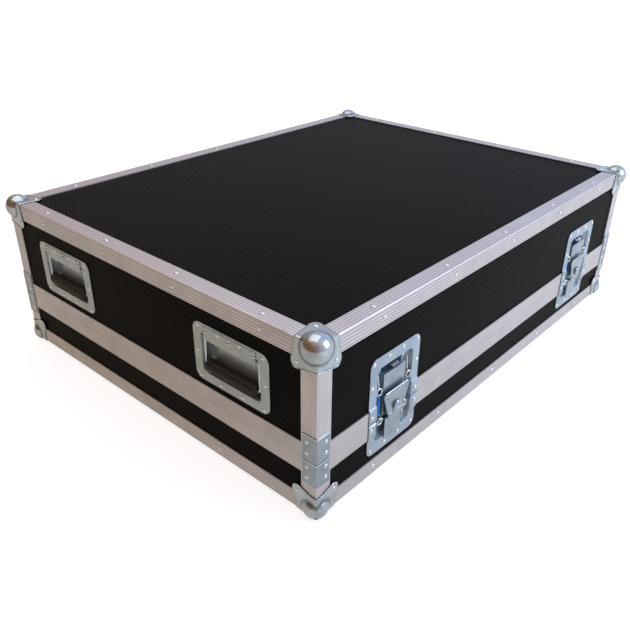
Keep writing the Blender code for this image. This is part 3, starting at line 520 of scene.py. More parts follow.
extrusion = {
    "edgeWidth": 30 * mm,
    "wall": 2 * mm,
    "crown": 1.8 * mm,
    "edgeRibs": 5,
    "postRibs": 5,
    "bandRibs": 5,
    "band": 26.4 * mm,
    "grooveDepth": 0.28 * mm,
    "grooveShape": (-0.30, -0.15, 0.15, 0.30),  # its four edges from its middle, in pitches
    # How much of the painted groove shade the posts get.
    "postGrooveShade": 0.4,
    "skin": 0.8 * mm,
    "legNear": 11.6 * mm,
    "legFar": 13.1 * mm,
    "legDrop": 12.5 * mm,
    "web": {"tray": 2.5 * mm, "lid": 7.5 * mm},
    "tongue": {"near": 5.5 * mm, "far": 8.5 * mm, "tall": 5.0 * mm},
    "clearance": {"side": 0.3 * mm, "roof": 0.6 * mm},
    "latchOpening": 46.8 * mm,
}


def ribbedLine(start, end, count):
    # Evenly spaced grooves as three rows: place across the face, depth below it, and 1 in a groove where
    # shade is painted.
    pitch = (end - start) / count
    middle = start + pitch * (np.arange(count) + 0.5)
    across = (middle[:, None] + pitch * np.array(extrusion["grooveShape"])).ravel()
    inGroove = np.tile([0.0, 1.0, 1.0, 0.0], count)
    across = np.concatenate([[start], across, [end]])
    inGroove = np.concatenate([[0.0], inGroove, [0.0]])
    return across, extrusion["grooveDepth"] * inGroove, inGroove


def ribbedAngle(count):
    # Equal angle drawn from its rounded outer corner: a ribbed face each way and a plain inside.
    across, depth, inGroove = ribbedLine(extrusion["crown"], extrusion["edgeWidth"], count)
    crown = extrusion["crown"]
    wall, far = extrusion["wall"], extrusion["edgeWidth"]
    easing = crown * (1 - np.sin(np.radians([30, 60])))
    corner = np.stack([easing, easing[::-1]], axis=1)
    flat = np.stack([across, depth], axis=1)
    inside = np.array([(far, wall), (wall, wall), (wall, far)])
    outline = np.concatenate([inside, flat[::-1][:, ::-1], corner, flat])
    groove = np.concatenate([np.zeros(3), inGroove[::-1], np.zeros(2), inGroove])
    return outline, groove


def ringRun(outline, heights, groove):
    # An outline of depths and heights carried round all four sides, mitred at the corners.
    roundTheCase = ((-1, -1), (1, -1), (1, 1), (-1, 1))
    stations = [(x * (length - outline), y * (width - outline)) for x, y in roundTheCase]
    points = np.array([np.stack([x, y, heights], axis=-1) for x, y in stations])
    return {"points": points, "ring": True, "loop": True, "groove": groove}


def endRun(depths, heights, xSide, start):
    # The same round one end of the case only, from the front latch to the back one.
    x, y = xSide * (length - depths), width - depths
    startX = np.full_like(depths, xSide * start)
    stations = [(startX, -y), (x, -y), (x, y), (startX, y)]
    points = np.array([np.stack([a, b, heights], axis=-1) for a, b in stations])
    return {"points": points, "ring": True, "caps": True}


edgeOutline, edgeGroove = ribbedAngle(extrusion["edgeRibs"])
for half, base, upward in (("tray", case["bottom"], 1), ("lid", case["top"], -1)):
    ring = ringRun(edgeOutline[:, 0], base + upward * edgeOutline[:, 1], edgeGroove)
    replaced = [half + "_edging_left", half + "_edging_right"]
    makePiece(half + "Edging", half, "aluminium", [ring], replaced)

latchEdge = case["latchSpread"] + extrusion["latchOpening"]
latchNear = case["latchSpread"] - extrusion["latchOpening"]
bandAcross, bandDepth, bandInGroove = ribbedLine(0, extrusion["band"], extrusion["bandRibs"])
bandHeights = np.concatenate([bandAcross, [extrusion["band"], 0]])
bandDepths = np.concatenate([bandDepth, [extrusion["wall"]] * 2])
bandGroove = np.concatenate([bandInGroove, [0, 0]])
postOutline, postGroove = ribbedAngle(extrusion["postRibs"])
postGap = extrusion["edgeWidth"] + 2 * case["fit"]
for half, way in (("tray", -1), ("lid", 1)):
    face = case["joint"] + way * case["fit"]
    grids = []
    # Ribbed bands between the posts and the latches, and on the end walls from post to post.
    heights = face + way * bandHeights
    bandOutline = np.stack([bandDepths, heights], axis=1)
    sides = {
        "front": [(postGap - length, -latchEdge), (-latchNear, latchNear), (latchEdge, length - postGap)],
        "left": [(postGap - width, width - postGap)],
    }
    for wallName in ("front", "back", "left", "right"):
        for low, high in sides["front" if wallName in ("front", "back") else "left"]:
            run = prism(bandOutline, 0, low, high, groove=bandGroove)
            grids += placed([run], wallPlace(wallName, 0, 0))
    # Web with the tongue on the tray or the groove that takes it on the lid, and the inner leg.
    tongue, clearance = extrusion["tongue"], extrusion["clearance"]
    near, far, turned = tongue["near"], tongue["far"], -tongue["tall"]
    if half == "lid":
        near, far = near - clearance["side"], far + clearance["side"]
        turned = tongue["tall"] + clearance["roof"]
    skin, web = extrusion["skin"], extrusion["web"][half]
    legNear, legFar = extrusion["legNear"], extrusion["legFar"]
    webOutline = [(skin, 0), (skin, web), (legFar, web), (legFar, 0)]
    webOutline += [(far, 0), (far, turned), (near, turned), (near, 0)]
    webOutline = np.array(webOutline)
    depths, heights = webOutline[:, 0], face + way * webOutline[:, 1]
    for xSide in (-1, 1):
        grids.append(endRun(depths, heights, xSide, latchEdge))
    for wallName in ("front", "back"):
        straight = prism(np.stack([depths, heights], axis=1), 0, -latchNear, latchNear)
        grids += placed([straight], wallPlace(wallName, 0, 0))
    drop = web + extrusion["legDrop"]
    legDepths = np.array([legNear, legNear, legFar, legFar])
    legHeights = face + way * np.array([0, drop, drop, 0])
    grids.append(ringRun(legDepths, legHeights, 0.0))
    # Upright ribbed posts.
    reachLow = case["bottom"] + postGap if half == "tray" else face
    reachHigh = face if half == "tray" else case["top"] - postGap
    for xSide, ySide in case["corners"].values():
        outline = np.array([xSide * length, ySide * width]) - postOutline * np.array([xSide, ySide])
        grids.append(prism(outline, 2, reachLow, reachHigh, groove=extrusion["postGrooveShade"] * postGroove))
    quarters = [half + "_frame_" + cornerName for cornerName in case["corners"]]
    makePiece(half + "Rim", half, "aluminium", grids, quarters)
print("extrusions ready")


brace = {
    "width": 27.3 * mm,
    "proud": 1.2 * mm,
    "inside": 1.0 * mm,
    "tray": 43 * mm,
    "lid": 45.5 * mm,
    "setback": 0.3 * mm,
    "cutEdge": 2.0 * mm,
    "edgeProud": 1.7 * mm,
    "cut": 0.65,  # how far out the outer corner's bevel stands, as a share of the proud face
    "softened": 0.3 * mm,
}


def braceOutline(proud, signs):
    # Plan of one folded brace: two legs round the post, with a bevelled outer corner.
    far, inside, cut = brace["width"], brace["inside"], -brace["cut"] * proud
    outline = [(far, inside), (inside, inside), (inside, far), (-proud, far), (-proud, 0)]
    outline += [(cut, cut), (0, -proud), (far, -proud)]
    return (np.array([length, width]) - np.array(outline)) * np.array(signs)


for half, way in (("tray", -1), ("lid", 1)):
    for cornerName, signs in case["corners"].items():
        face = case["joint"] + way * case["fit"]
        low, high = sorted((face + way * brace["setback"], face + way * brace[half]))
        name = half + "Brace_" + cornerName
        fold = prism(braceOutline(brace["proud"], signs), 2, low, high - brace["cutEdge"])
        makePiece(name, half, "brace", [fold], bevel=brace["softened"], sharp=50)
        # The upper cut edge stands a little prouder and is drawn in the brighter steel as a painted
        # highlight.
        edge = prism(braceOutline(brace["edgeProud"], signs), 2, high - brace["cutEdge"], high)
        makePiece(name + "_paintedHighlight", half, "bright", [edge], bevel=brace["softened"], sharp=50)
print("corner braces ready")


ball = {
    "lid": {"radius": 23.0 * mm, "reach": 41.0 * mm},
    "tray": {"radius": 20.5 * mm, "reach": 38.0 * mm},
    "centre": 12.0 * mm,
    "skin": 1.5 * mm,
    "sheet": 1.2 * mm,
    "earCentre": 36.5 * mm,
    "earRadius": 11.0 * mm,
    "earSweep": (-14, 45),
    "waist": (1.5 * mm, 14 * mm),
    "fold": 3.0 * mm,
    "blend": 1.8 * mm,
    "paintedShadeWidth": 2.0 * mm,
    "paintedShade": 0.75,
    "rim": 0.6 * mm,
    "steps": 18,
    "rivetAt": 37.0 * mm,
}


def resampled(points, count):
    # The same line with evenly spaced points.
    points = np.array(points)
    along = np.concatenate([[0], np.cumsum(np.linalg.norm(np.diff(points, axis=0), axis=1))])
    stops = np.linspace(0, along[-1], count)
    return np.stack([np.interp(stops, along, points[:, i]) for i in range(2)], axis=1)


def cornerEar(reach):
    # One ear as a Coons patch: two folded edges, and an outer line that swings round the rivet.
    edge = -ball["skin"]
    out, up = ball["waist"]
    angles = np.radians(np.linspace(*ball["earSweep"], 9))
    arc = ball["earCentre"] + ball["earRadius"] * np.stack([np.cos(angles), np.sin(angles)], axis=1)
    right = resampled([(reach, edge), (reach + out, up), *arc], ball["steps"] + 1)
    top = right[:, ::-1]
    line = np.linspace(edge, reach, ball["steps"] + 1)
    base = np.stack([line, np.full_like(line, edge)], axis=1)[:, None]
    side = np.stack([np.full_like(line, edge), line], axis=1)[None]
    share = np.linspace(0, 1, ball["steps"] + 1)
    s, t = share[:, None, None], share[None, :, None]
    corners = (1 - s) * (1 - t) * base[0, 0] + s * (1 - t) * base[-1, 0]
    corners = corners + (1 - s) * t * side[0, -1] + s * t * right[-1]
    return (1 - t) * base + t * top[:, None] + (1 - s) * side + s * right[None] - corners


def ballCorner(name, body, signs, radius, reach, corner):
    # Flat ears folded round the case's corner and pushed out from the ball's centre to its surface: the
    # distance becomes the larger of itself and the ball's radius, with a soft change between them.
    # Painted shade darkens the sheet where the ball rises out of the ears.
    ear = cornerEar(reach)
    grids, edges = [], []
    for axis in range(3):
        points = np.empty(ear.shape[:2] + (3,))
        first, second = [i for i in range(3) if i != axis]
        points[..., first], points[..., second] = ear[..., 0], ear[..., 1]
        points[..., axis] = -ball["skin"]
        inner = np.maximum(points, ball["fold"] - ball["skin"])
        out = points - inner
        points = inner + ball["fold"] * out / np.linalg.norm(out, axis=-1, keepdims=True)
        ray = points - ball["centre"]
        far = np.linalg.norm(ray, axis=-1, keepdims=True)
        pushed = 0.5 * (far + radius + np.sqrt((far - radius) ** 2 + ball["blend"] ** 2))
        points = ball["centre"] + ray / far * pushed
        # The painted shade falls off with distance from the line where the ball meets the ears.
        paintedShade = ball["paintedShade"] * np.exp(-((far[..., 0] - radius) / ball["paintedShadeWidth"]) ** 2)
        if signs[2] < 0:
            points[..., 2] = np.maximum(points[..., 2], -case["bottom"] + 0.05 * mm)
        grids.append({"points": np.array(corner) - points * np.array(signs), "groove": paintedShade})
        # Thin rods in the brighter steel along the ears' open edges are a painted highlight.
        if axis < 2:
            edges.append(tube(grids[-1]["points"][:, -1], ball["rim"], (signs[0], -signs[1], 0.3), 6))
    makePiece(name + "_pressed", body, "ball", grids, [name], ball["sheet"], outward=signs)
    makePiece(name + "_paintedHighlight", body, "bright", edges, sharp=60)


bodyRivets = {"lid": [], "tray": []}
for cornerName, (xSide, ySide) in case["corners"].items():
    for body, zSide, height in (("lid", 1, case["top"]), ("tray", -1, case["bottom"])):
        corner = (xSide * length, ySide * width, height)
        size = ball[body]
        name = body + "_ball_corner_" + cornerName
        ballCorner(name, body, (xSide, ySide, zSide), size["radius"], size["reach"], corner)
        spot = [(ball["rivetAt"], -ball["skin"], ball["rivetAt"])]
        # The three ears each carry one rivet whose axis is the face's own.
        inward = np.array([[-xSide, 0, 0], [0, -ySide, 0], [0, 0, -zSide]], float)
        for order in ((0, 1, 2), (1, 0, 2), (1, 2, 0)):
            bodyRivets[body].append(((np.array(corner), inward[list(order)]), spot))
print("ball corners ready")


# The sheared edge of a dish's flange, in rows of the kind that latchDish explains.
flangeEdge = [
    (1.0, 0.0, -1.1 * mm, 0),
    (1.0, 0.0, -0.35 * mm, 0),
    (0.99, 0.0, -0.08 * mm, 0),
    (0.97, 0.0, 0.0, 0),
]

latch = {
    "flangeHalf": 63.2 * mm,
    "flangeRadius": 14 * mm,
    "panHalf": 45 * mm,
    "panRadius": 10 * mm,
    "flangeFar": {"lid": 115.3 * mm, "tray": 64.7 * mm},
    "panFar": {"lid": 94.8 * mm, "tray": 42.7 * mm},
    "panelFace": 0.8 * mm,
    "bandFace": -1.5 * mm,
    "step": (27.3 * mm, 30.8 * mm),
    "sideStops": [9, 18, 27.3, 28.4, 29.7, 30.8],  # millimetres from the joint line
    "endSpace": 12 * mm,
    "floor": 10 * mm,
    "draft": 3.7 * mm,
    "bead": 0.45 * mm,
    "sheet": 1.2 * mm,
    "softened": 0.4 * mm,
    "rivets": {  # on the right half, in millimetres, mirrored to the left
        "lid": [(55, 107.5), (18, 107.5), (57, 66), (57, 13)],
        "tray": [(55, -55.5), (18, -55.5), (57, -11)],
    },
    "panRivets": [(-31, 9.6, 85), (31, 9.6, 85)],
}

# Side views of the folded plates: depth into the case and height over the joint line, in millimetres.
plates = {
    "coverHalf": 28 * mm,
    "cover": [(1.5, 1.3), (1.5, 77.0), (10.2, 77.0), (10.2, 75.5), (3.0, 75.5), (3.0, 1.3)],
    "fold": {"wall": 1.2 * mm, "face": 1.6 * mm, "deep": 8.5 * mm, "low": 46 * mm, "high": 76.7 * mm},
    "keeperHalf": 21 * mm,
    "keeper": [(-0.7, -47.7), (-0.7, -7.7), (4.0, -7.7), (4.0, -9.7), (0.9, -9.7), (0.9, -47.7)],
    # The dark plate of painted shadow in the gap between the pan's top wall and the cover.
    "window": {"half": 24, "low": 77.4, "high": 89.5, "near": 8.2 * mm, "far": 9.9 * mm, "soft": 0.3 * mm},
}

# Wires by points across the wall, into it and over the joint line, in millimetres. Those with a side to
# them are drawn on the right and mirrored to the left.
wires = {
    "coil": {"from": -8, "to": 9, "depth": 4.4, "height": 83.5, "radius": 2.9, "turns": 5, "wire": 1.0 * mm},
    "legWire": {"lid": 1.5 * mm, "tray": 1.9 * mm},
    "lidLeg": [(37.5, 7.5, 80), (37.5, 6.0, 74), (36.5, 4.8, 62), (36.5, 4.4, 56)],
    "lidCurl": {"middle": (35.7, 2.4, 48.5), "radius": 6.2 * mm, "wire": 1.9 * mm},
    "trayLeg": [(34, 6.4, -11), (35.5, 7.2, -18), (36.5, 7.6, -27), (36.5, 7.9, -36)],
    "trayCurl": {"middle": (33.5, 2.2, -6.5), "radius": 5.6 * mm, "wire": 1.8 * mm},
    "curlTurns": 1.2,
    "arm": [(33, 5.4, 43), (33, 5.6, 36), (34, 5.8, 24), (34, 5.8, 12), (33, 5.6, 3)],
    "armWire": 3.4 * mm,
    "hemWire": 1.15 * mm,
    "hem": [(-28.5, -4.3, 43.7), (0, -4.3, 43.8), (28.5, -4.3, 43.7)],
    "hubRing": {"middle": (0, -8.9, 12.3), "radius": 6.6 * mm, "wire": 0.9 * mm},
    "ribWire": 1.1 * mm,
    "thumbRib": [(-1, -8.4, 12.3), (2.5, -9.1, 9.5), (5.0, -8.4, 6.5)],
    "lean": (0, 1, 0.1),
}


def uLoop(half, far, radius):
    # Up one side from the joint, round two quarter circles and down the other side, with more points where
    # the flange steps up from the band to the board.
    sides = np.array([case["fit"] / mm] + latch["sideStops"]) * mm
    sides = np.minimum(sides, far - radius - 0.1 * mm)
    bend = np.radians(np.linspace(180, 90, 8))
    left = np.stack([np.full_like(sides, -half), sides], axis=1)
    turn = np.stack([radius - half + radius * np.cos(bend), far - radius + radius * np.sin(bend)], axis=1)
    across = np.stack([np.linspace(radius - half, 0, 5)[1:], np.full(4, far)], axis=1)
    leftHalf = np.concatenate([left, turn, across])
    return np.concatenate([leftHalf, (leftHalf[:-1] * np.array([-1, 1]))[::-1]])


def latchDish(half, way):
    # Nested loops from the flange's edge over a raised bead, down the drafted wall and over the floor.
    # Each row gives: share of the way out to the flange's edge, inset from the opening, height above the
    # face, and share of the depth down to the floor.
    bead, draft = latch["bead"], latch["draft"]
    rows = flangeEdge + [
        (0.16, 0.0, 0.0, 0),
        (0.11, 0.0, 0.7 * bead, 0),
        (0.075, 0.0, bead, 0),
        (0.04, 0.0, 0.8 * bead, 0),
        (0.0, 0.0, -0.1 * mm, 0.02),
        (0.0, 0.25 * mm, -0.2 * mm, 0.10),
        (0.0, 0.45 * draft, 0.0, 0.50),
        (0.0, 0.80 * draft, 0.0, 0.86),
        (0.0, 0.95 * draft, 0.0, 0.95),
        (0.0, draft + 0.7 * mm, 0.0, 0.99),
        (0.0, draft + 1.6 * mm, 0.0, 1.0),
    ]
    loops = []
    for out, inset, lift, down in rows:
        panHalf, panFar = latch["panHalf"] - inset, latch["panFar"][half] - inset
        outerHalf = panHalf + out * (latch["flangeHalf"] - latch["panHalf"])
        outerFar = panFar + out * (latch["flangeFar"][half] - latch["panFar"][half])
        radius = latch["panRadius"] + out * (latch["flangeRadius"] - latch["panRadius"]) - 0.6 * inset
        loop = uLoop(outerHalf, outerFar, radius)
        face = np.interp(loop[:, 1], latch["step"], (latch["bandFace"], latch["panelFace"])) - lift
        depth = face * (1 - down) + latch["floor"] * down
        loops.append(np.stack([loop[:, 0], depth, way * loop[:, 1]], axis=1))
    # The floor closes on an upright line down its middle, which ends short of the far wall.
    middle = loops[-1].copy()
    middle[:, 0] = 0
    middle[:, 2] = way * np.minimum(way * middle[:, 2], latch["panFar"][half] - latch["endSpace"])
    return {"points": np.array(loops + [middle])}


def ringPath(middle, radius, start, turns, steps=22, drift=1.8 * mm):
    # A circle facing outward: along the wall by cosine, up by sine, drifting a little inward each turn.
    angles = np.linspace(start, start + 2 * math.pi * turns, steps)
    inward = drift * np.linspace(0, turns, steps)
    across, up = radius * np.cos(angles), radius * np.sin(angles)
    return np.stack([middle[0] + across, middle[1] + inward, middle[2] + up], axis=1)


def latchPlates(prefix, place):
    # Pressed dishes, the cover plate with its top and sides folded in, and the keeper plate with its top
    # edge turned in.
    sheet, soft = latch["sheet"], latch["softened"]
    for half, way in (("lid", 1), ("tray", -1)):
        name = prefix + "_" + half + "_dish"
        dish = placed([latchDish(half, way)], place)
        makePiece(name + "_pressed", half, "dish", dish, [name], sheet, outward=-place[1][1])
    wide, fold = plates["coverHalf"], plates["fold"]
    cover = [prism(np.array(plates["cover"]) * mm, 0, -wide, wide)]
    for side in (-1, 1):
        flap = np.array([(side * (wide - fold["wall"]), fold["face"]), (side * wide, fold["face"])])
        flap = np.concatenate([flap, flap[::-1] + np.array([0, fold["deep"]])])
        cover.append(prism(flap, 2, fold["low"], fold["high"]))
    cover = placed(cover, place)
    makePiece(prefix + "_cover", "lid", "brace", cover, bevel=soft, sharp=50)
    wide = plates["keeperHalf"]
    keeper = placed([prism(np.array(plates["keeper"]) * mm, 0, -wide, wide)], place)
    makePiece(prefix + "_keeper", "tray", "brace", keeper, bevel=soft, sharp=50)


def latchSprings(prefix, place):
    # A dark plate above the cover, painted shadow in the recess, with the spring's coil in it, wires that
    # curl once at mid height beside the cover, and the blue arms that run on down from them.
    window = plates["window"]
    half, low, high = window["half"], window["low"], window["high"]
    opening = np.array([(-half, low), (half, low), (half, high), (-half, high)]) * mm
    opening = placed([prism(opening, 1, window["near"], window["far"])], place)
    makePiece(prefix + "_paintedShadow", "lid", "shadow", opening, bevel=window["soft"])
    coil = wires["coil"]
    angles = np.linspace(0, 2 * math.pi * coil["turns"], 60)
    across = np.linspace(coil["from"], coil["to"], 60)
    into, up = coil["radius"] * np.cos(angles), coil["radius"] * np.sin(angles)
    path = np.stack([across, coil["depth"] + into, coil["height"] + up], axis=1) * mm
    springs = [tube(path, coil["wire"], (1, 0, 0), 6)]
    trayWires, arms = [], []
    for side in (-1, 1):
        mirror = np.array([side, 1, 1]) * mm
        curl, turns = wires["lidCurl"], side * wires["curlTurns"]
        start = 0 if side > 0 else math.pi
        path = ringPath(np.array(curl["middle"]) * mirror, curl["radius"], start, -turns)
        springs.append(tube(np.array(wires["lidLeg"]) * mirror, wires["legWire"]["lid"], wires["lean"]))
        springs.append(tube(path, curl["wire"], (0, 1, 0)))
        curl = wires["trayCurl"]
        path = ringPath(np.array(curl["middle"]) * mirror, curl["radius"], math.pi / 2, turns)
        trayWires.append(tube(path, curl["wire"], (0, 1, 0)))
        trayWires.append(tube(np.array(wires["trayLeg"]) * mirror, wires["legWire"]["tray"], wires["lean"]))
        arms.append(tube(np.array(wires["arm"]) * mirror, wires["armWire"], wires["lean"], 10))
    makePiece(prefix + "_springs", "lid", "bright", placed(springs, place), sharp=50)
    makePiece(prefix + "_traySprings", "tray", "bright", placed(trayWires, place), sharp=50)
    makePiece(prefix + "_springArms", "lid", "blue", placed(arms, place), sharp=50)


def latchTrim(prefix, place):
    # Hemmed top edge of the wing, and a ring and a thumb rib on the turning hub.
    # The hem is drawn in brighter steel than the wing, a painted highlight along its rolled edge.
    hem = placed([tube(np.array(wires["hem"]) * mm, wires["hemWire"], (0, 1, 0))], place)
    makePiece(prefix + "_wingHem", prefix + "_wing", "bright", hem, sharp=50)
    hub = wires["hubRing"]
    ring = ringPath(np.array(hub["middle"]) * mm, hub["radius"], 0, 1.0, drift=0.0)
    grids = [tube(ring, hub["wire"], (0, 1, 0))]
    grids.append(tube(np.array(wires["thumbRib"]) * mm, wires["ribWire"], (0, 1, 0)))
    grids = placed(grids, place)
    makePiece(prefix + "_hubRing", prefix + "_spindle", "bright", grids, sharp=50)


def makeLatch(placeName, face, along):
    prefix = "latch_" + placeName
    place = wallPlace(face, along, case["joint"])
    latchPlates(prefix, place)
    latchSprings(prefix, place)
    latchTrim(prefix, place)
    for half, spots in latch["rivets"].items():
        spots = np.array(spots) * mm
        depth = np.interp(np.abs(spots[:, 1]), latch["step"], (latch["bandFace"], latch["panelFace"]))
        right = np.stack([spots[:, 0], depth, spots[:, 1]], axis=1)
        bodyRivets[half].append((place, np.concatenate([right, right * np.array([-1, 1, 1])])))
    bodyRivets["lid"].append((place, np.array(latch["panRivets"]) * mm))


for face, names in (("front", ("front_left", "front_right")), ("back", ("back_left", "back_right"))):
    for placeName, side in zip(names, (-1, 1)):
        makeLatch(placeName, face, side * case["latchSpread"])
print("latches ready")


handle = {
    "places": {
        "left_front": ("left", -1),
        "left_back": ("left", 1),
        "right_front": ("right", -1),
        "right_back": ("right", 1),
    },
    "spread": 227 * mm,
    "height": 200.9855 * mm,
    "flange": {"half": 83 * mm, "tall": 52 * mm, "radius": 15 * mm},
    "opening": {"half": 65 * mm, "low": -35 * mm, "high": 38 * mm, "radius": 8 * mm},
    "face": 0.8 * mm,
    "floor": 17 * mm,
    "draft": 4.5 * mm,
    "lip": 0.7 * mm,
    "midline": 40 * mm,
    "sheet": 1.2 * mm,
    "softened": 0.4 * mm,
    "rivets": [  # across and up from the middle, in millimetres
        (-71.25, 45.5), (-23.75, 45.5), (23.75, 45.5), (71.25, 45.5), (-74.5, 0), (74.5, 0),
        (-71.25, -45.5), (-23.75, -45.5), (23.75, -45.5), (71.25, -45.5),
    ],
    "strap": {"half": 57 * mm, "low": 26 * mm, "high": 49 * mm, "proud": 0.7 * mm, "inside": 0.9 * mm},
    "barrel": {
        "across": (-53, 0, 52),
        "up": (46, 40.5),
        "half": 5.5 * mm,
        "radius": 2.6 * mm,
        "proud": 0.5 * mm,
    },
    "loop": {"across": (-30, 0, 30), "inside": 0.6 * mm, "up": 25 * mm, "radius": 2.2 * mm, "wire": 0.7 * mm},
}

bail = {
    "gripRadius": 10.5 * mm,
    "gripHalf": 56 * mm,
    "gripHeight": -20.5 * mm,
    "gripEnd": [(-1, 0.62), (-0.985, 0.86), (-0.96, 0.97), (-0.93, 1.0)],  # place along, share of radius
    "flutes": 14,
    "fluteDepth": 1.3 * mm,
    "fluteGain": 1.6,
    "rod": 2.5 * mm,
    "bend": 5 * mm,
    "depth": 5 * mm,
    "hingeHeight": 33 * mm,
    "half": 60 * mm,
    "collar": {"from": 55.5 * mm, "to": 58.3 * mm, "radius": 4.6 * mm},
}


def roundedLoop(half, low, high, radius, between=5):
    # Four quarter circles joined by straights, all as evenly spaced points.
    bend = np.radians(np.linspace(0, 90, 7))
    right, left, top, bottom = half - radius, radius - half, high - radius, low + radius
    points = []
    for quarter, (x, z) in enumerate(((right, top), (left, top), (left, bottom), (right, bottom))):
        angles = bend + quarter * math.pi / 2
        points.append(np.stack([x + radius * np.cos(angles), z + radius * np.sin(angles)], axis=1))
    loop = []
    for quarter in range(4):
        end, start = points[quarter][-1], points[(quarter + 1) % 4][0]
        share = np.linspace(0, 1, between + 2)[1:-1, None]
        loop += [points[quarter], end + (start - end) * share]
    return np.concatenate(loop)


def handleDish():
    # Nested closed loops: flange edge, flat flange, rounded lip, drafted wall, fillet and floor. Each row
    # gives the same four numbers as a latch dish's row.
    flange, opening = handle["flange"], handle["opening"]
    lip, draft = handle["lip"], handle["draft"]
    rows = flangeEdge + [
        (0.22, 0.0, 0.0, 0),
        (0.16, 0.0, 0.6 * lip, 0),
        (0.10, 0.0, lip, 0),
        (0.05, 0.0, 0.85 * lip, 0),
        (0.0, 0.0, 0.1 * mm, 0.0),
        (0.0, 0.2 * mm, 0.0, 0.06),
        (0.0, 0.5 * draft, 0.0, 0.5),
        (0.0, 0.85 * draft, 0.0, 0.88),
        (0.0, draft, 0.0, 0.965),
        (0.0, draft + 1.2 * mm, 0.0, 0.995),
        (0.0, draft + 2.4 * mm, 0.0, 1.0),
    ]
    loops = []
    for out, inset, lift, down in rows:
        half = opening["half"] - inset + out * (flange["half"] - opening["half"])
        low = opening["low"] + inset + out * (-flange["tall"] - opening["low"])
        high = opening["high"] - inset + out * (flange["tall"] - opening["high"])
        radius = opening["radius"] + out * (flange["radius"] - opening["radius"]) - 0.3 * inset
        loop = roundedLoop(half, low, high, radius)
        depth = np.full(len(loop), (handle["face"] - lift) * (1 - down) + handle["floor"] * down)
        loops.append(np.stack([loop[:, 0], depth, loop[:, 1]], axis=1))
    # The floor closes on a level line across its middle.
    middle = loops[-1].copy()
    middle[:, 0] = np.clip(middle[:, 0], -handle["midline"], handle["midline"])
    middle[:, 2] = 0.5 * (opening["low"] + opening["high"])
    return {"points": np.array(loops + [middle]), "ring": True}


def flutedGrip():
    # Round bar with lengthwise flutes, drawn in at both ends: radius less a clipped cosine of the angle.
    # The flutes stop where the ends draw in.
    angles = np.linspace(0, 2 * math.pi, 8 * bail["flutes"], endpoint=False)
    flute = np.clip(-np.cos(bail["flutes"] * angles) * bail["fluteGain"], 0, 1) * bail["fluteDepth"]
    along, share = np.array(bail["gripEnd"]).T
    along = np.concatenate([along, -along[::-1]])[:, None] * bail["gripHalf"]
    share = np.concatenate([share, share[::-1]])[:, None]
    radius = share * (bail["gripRadius"] - flute * (share > 0.9))
    depth = bail["depth"] + radius * np.cos(angles)
    height = bail["gripHeight"] + radius * np.sin(angles)
    points = np.stack([np.broadcast_to(along, radius.shape), depth, height], axis=-1)
    return {"points": points, "ring": True, "caps": True}


def halfBarrel(middle, half, height, radius, face):
    # Pressed barrel: upright rings that swell from almost nothing to full size and back along the strap,
    # by the root of one less the fourth power of the place.
    along = np.linspace(-1, 1, 9)
    swell = np.sqrt(np.clip(1 - along ** 4, 0.0004, 1))[:, None]
    angles = np.linspace(0, 2 * math.pi, 12, endpoint=False)
    depth = face - 0.9 * radius * swell * np.sin(angles)
    tall = height + radius * swell * np.cos(angles)
    points = np.stack([np.broadcast_to(middle + half * along[:, None], depth.shape), depth, tall], axis=-1)
    return {"points": points, "ring": True, "caps": True}


def hingeStrap(prefix, place):
    # Hinge strap with pressed barrels over the rod, and the small loops that come through its lower edge.
    strap, barrel, loop = handle["strap"], handle["barrel"], handle["loop"]
    half, low, high = strap["half"], strap["low"], strap["high"]
    outline = [(-half, low), (half, low), (half, high), (-half, high)]
    plate = placed([prism(outline, 1, -strap["proud"], strap["inside"])], place)
    makePiece(prefix + "_strap", "lid", "handleDish", plate, bevel=handle["softened"], sharp=50)
    barrels = []
    for u in barrel["across"]:
        for z in barrel["up"]:
            barrels.append(halfBarrel(u * mm, barrel["half"], z * mm, barrel["radius"], -barrel["proud"]))
    # The barrels are pressed from the strap but drawn in the brighter steel, a painted highlight on them.
    makePiece(prefix + "_barrels", "lid", "bright", placed(barrels, place), sharp=60)
    loops = []
    for u in loop["across"]:
        ring = ringPath((u * mm, loop["inside"], loop["up"]), loop["radius"], 0, 1.0, 14)
        loops.append(tube(ring, loop["wire"], (0, 1, 0), 6))
    makePiece(prefix + "_loops", "lid", "bright", placed(loops, place), sharp=60)


def makeBail(name, place):
    # A bright rod bent into a loop, with turned collars and the fluted grip on its lower run.
    loop = roundedLoop(bail["half"], bail["gripHeight"], bail["hingeHeight"], bail["bend"], 3)
    path = np.stack([loop[:, 0], np.full(len(loop), bail["depth"]), loop[:, 1]], axis=1)
    metal = [tube(path, bail["rod"], (0, 1, 0), 10, closed=True)]
    collar = bail["collar"]
    for side in (-1, 1):
        ends = np.array([(collar["from"], 0, 0), (collar["to"], 0, 0)]) * side
        ends = ends + np.array([0, bail["depth"], bail["gripHeight"]])
        metal.append(tube(ends, collar["radius"], (0, 1, 0), 14))
    makePiece(name.replace("_bail", "_rod"), name, "bright", placed(metal, place), sharp=50)
    grip = placed([flutedGrip()], place)
    makePiece(name.replace("_bail", "_grip"), name, "rubber", grip, [name], sharp=40)


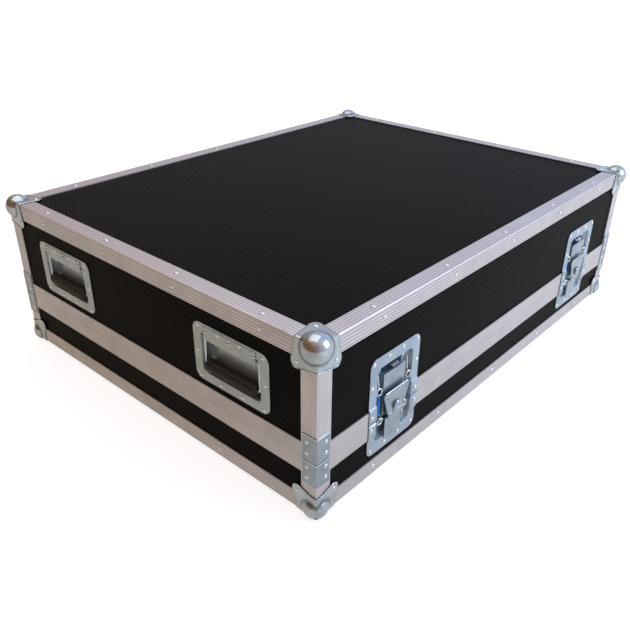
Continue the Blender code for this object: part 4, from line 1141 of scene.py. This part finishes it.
def makeHandle(placeName, face, along):
    prefix = "handle_" + placeName
    place = wallPlace(face, along, handle["height"])
    name, sheet, strap = prefix + "_dish", handle["sheet"], handle["strap"]
    dish = placed([handleDish()], place)
    makePiece(name + "_pressed", "lid", "handleDish", dish, [name], sheet, outward=-place[1][1])
    hingeStrap(prefix, place)
    makeBail(prefix + "_bail", place)
    across = np.array(handle["rivets"]) * mm
    onStrap = (across[:, 1] > strap["low"]) & (np.abs(across[:, 0]) < strap["half"])
    depth = np.where(onStrap, -strap["proud"], handle["face"])
    bodyRivets["lid"].append((place, np.stack([across[:, 0], depth, across[:, 1]], axis=1)))


for placeName, (face, side) in handle["places"].items():
    makeHandle(placeName, face, side * handle["spread"])
print("handles ready")


# Rivets along the edging, and two on each face of every corner brace. The stops are in millimetres from
# the middle of a wall.
fixing = {
    "long": [-380, -190, 0, 190, 380],
    "end": [-285, -95, 95, 285],
    "low": [-290, 190],
    "fromEdge": 15.5 * mm,
    "sunk": 0.1 * mm,
    "stagger": 8 * mm,
    "brace": {"lid": [33.3 * mm, 13.3 * mm], "tray": [-11.2 * mm, -31.3 * mm]},
    "fromCorner": 18.5 * mm,
}
for wallName, stops in (("front", "long"), ("back", "long"), ("left", "end"), ("right", "end")):
    origin, axes = wallPlace(wallName, 0, case["top"])
    down = np.array([axes[0], -axes[2], axes[1]])
    spots = [(stop * mm, fixing["sunk"], fixing["fromEdge"]) for stop in fixing[stops]]
    bodyRivets["lid"].append(((origin, down), spots))
    side = [(u + fixing["stagger"], fixing["sunk"], -z) for u, d, z in spots]
    bodyRivets["lid"].append(((origin, axes), side))
    lowPlace = wallPlace(wallName, 0, case["bottom"])
    lowStops = fixing["low"] if stops == "end" else fixing["long"]
    lowSpots = [(stop * mm, fixing["sunk"], fixing["fromEdge"]) for stop in lowStops]
    bodyRivets["tray"].append((lowPlace, lowSpots))
    half = length if stops == "long" else width
    place = wallPlace(wallName, 0, case["joint"])
    for body, heights in fixing["brace"].items():
        edge = half - fixing["fromCorner"]
        spots = [(side * edge, -brace["proud"], height) for side in (-1, 1) for height in heights]
        bodyRivets[body].append((place, spots))
for body, places in bodyRivets.items():
    makePiece(body + "Rivets", body, "rivet", rivetDomes(places), sharp=60)
print("rivets ready")
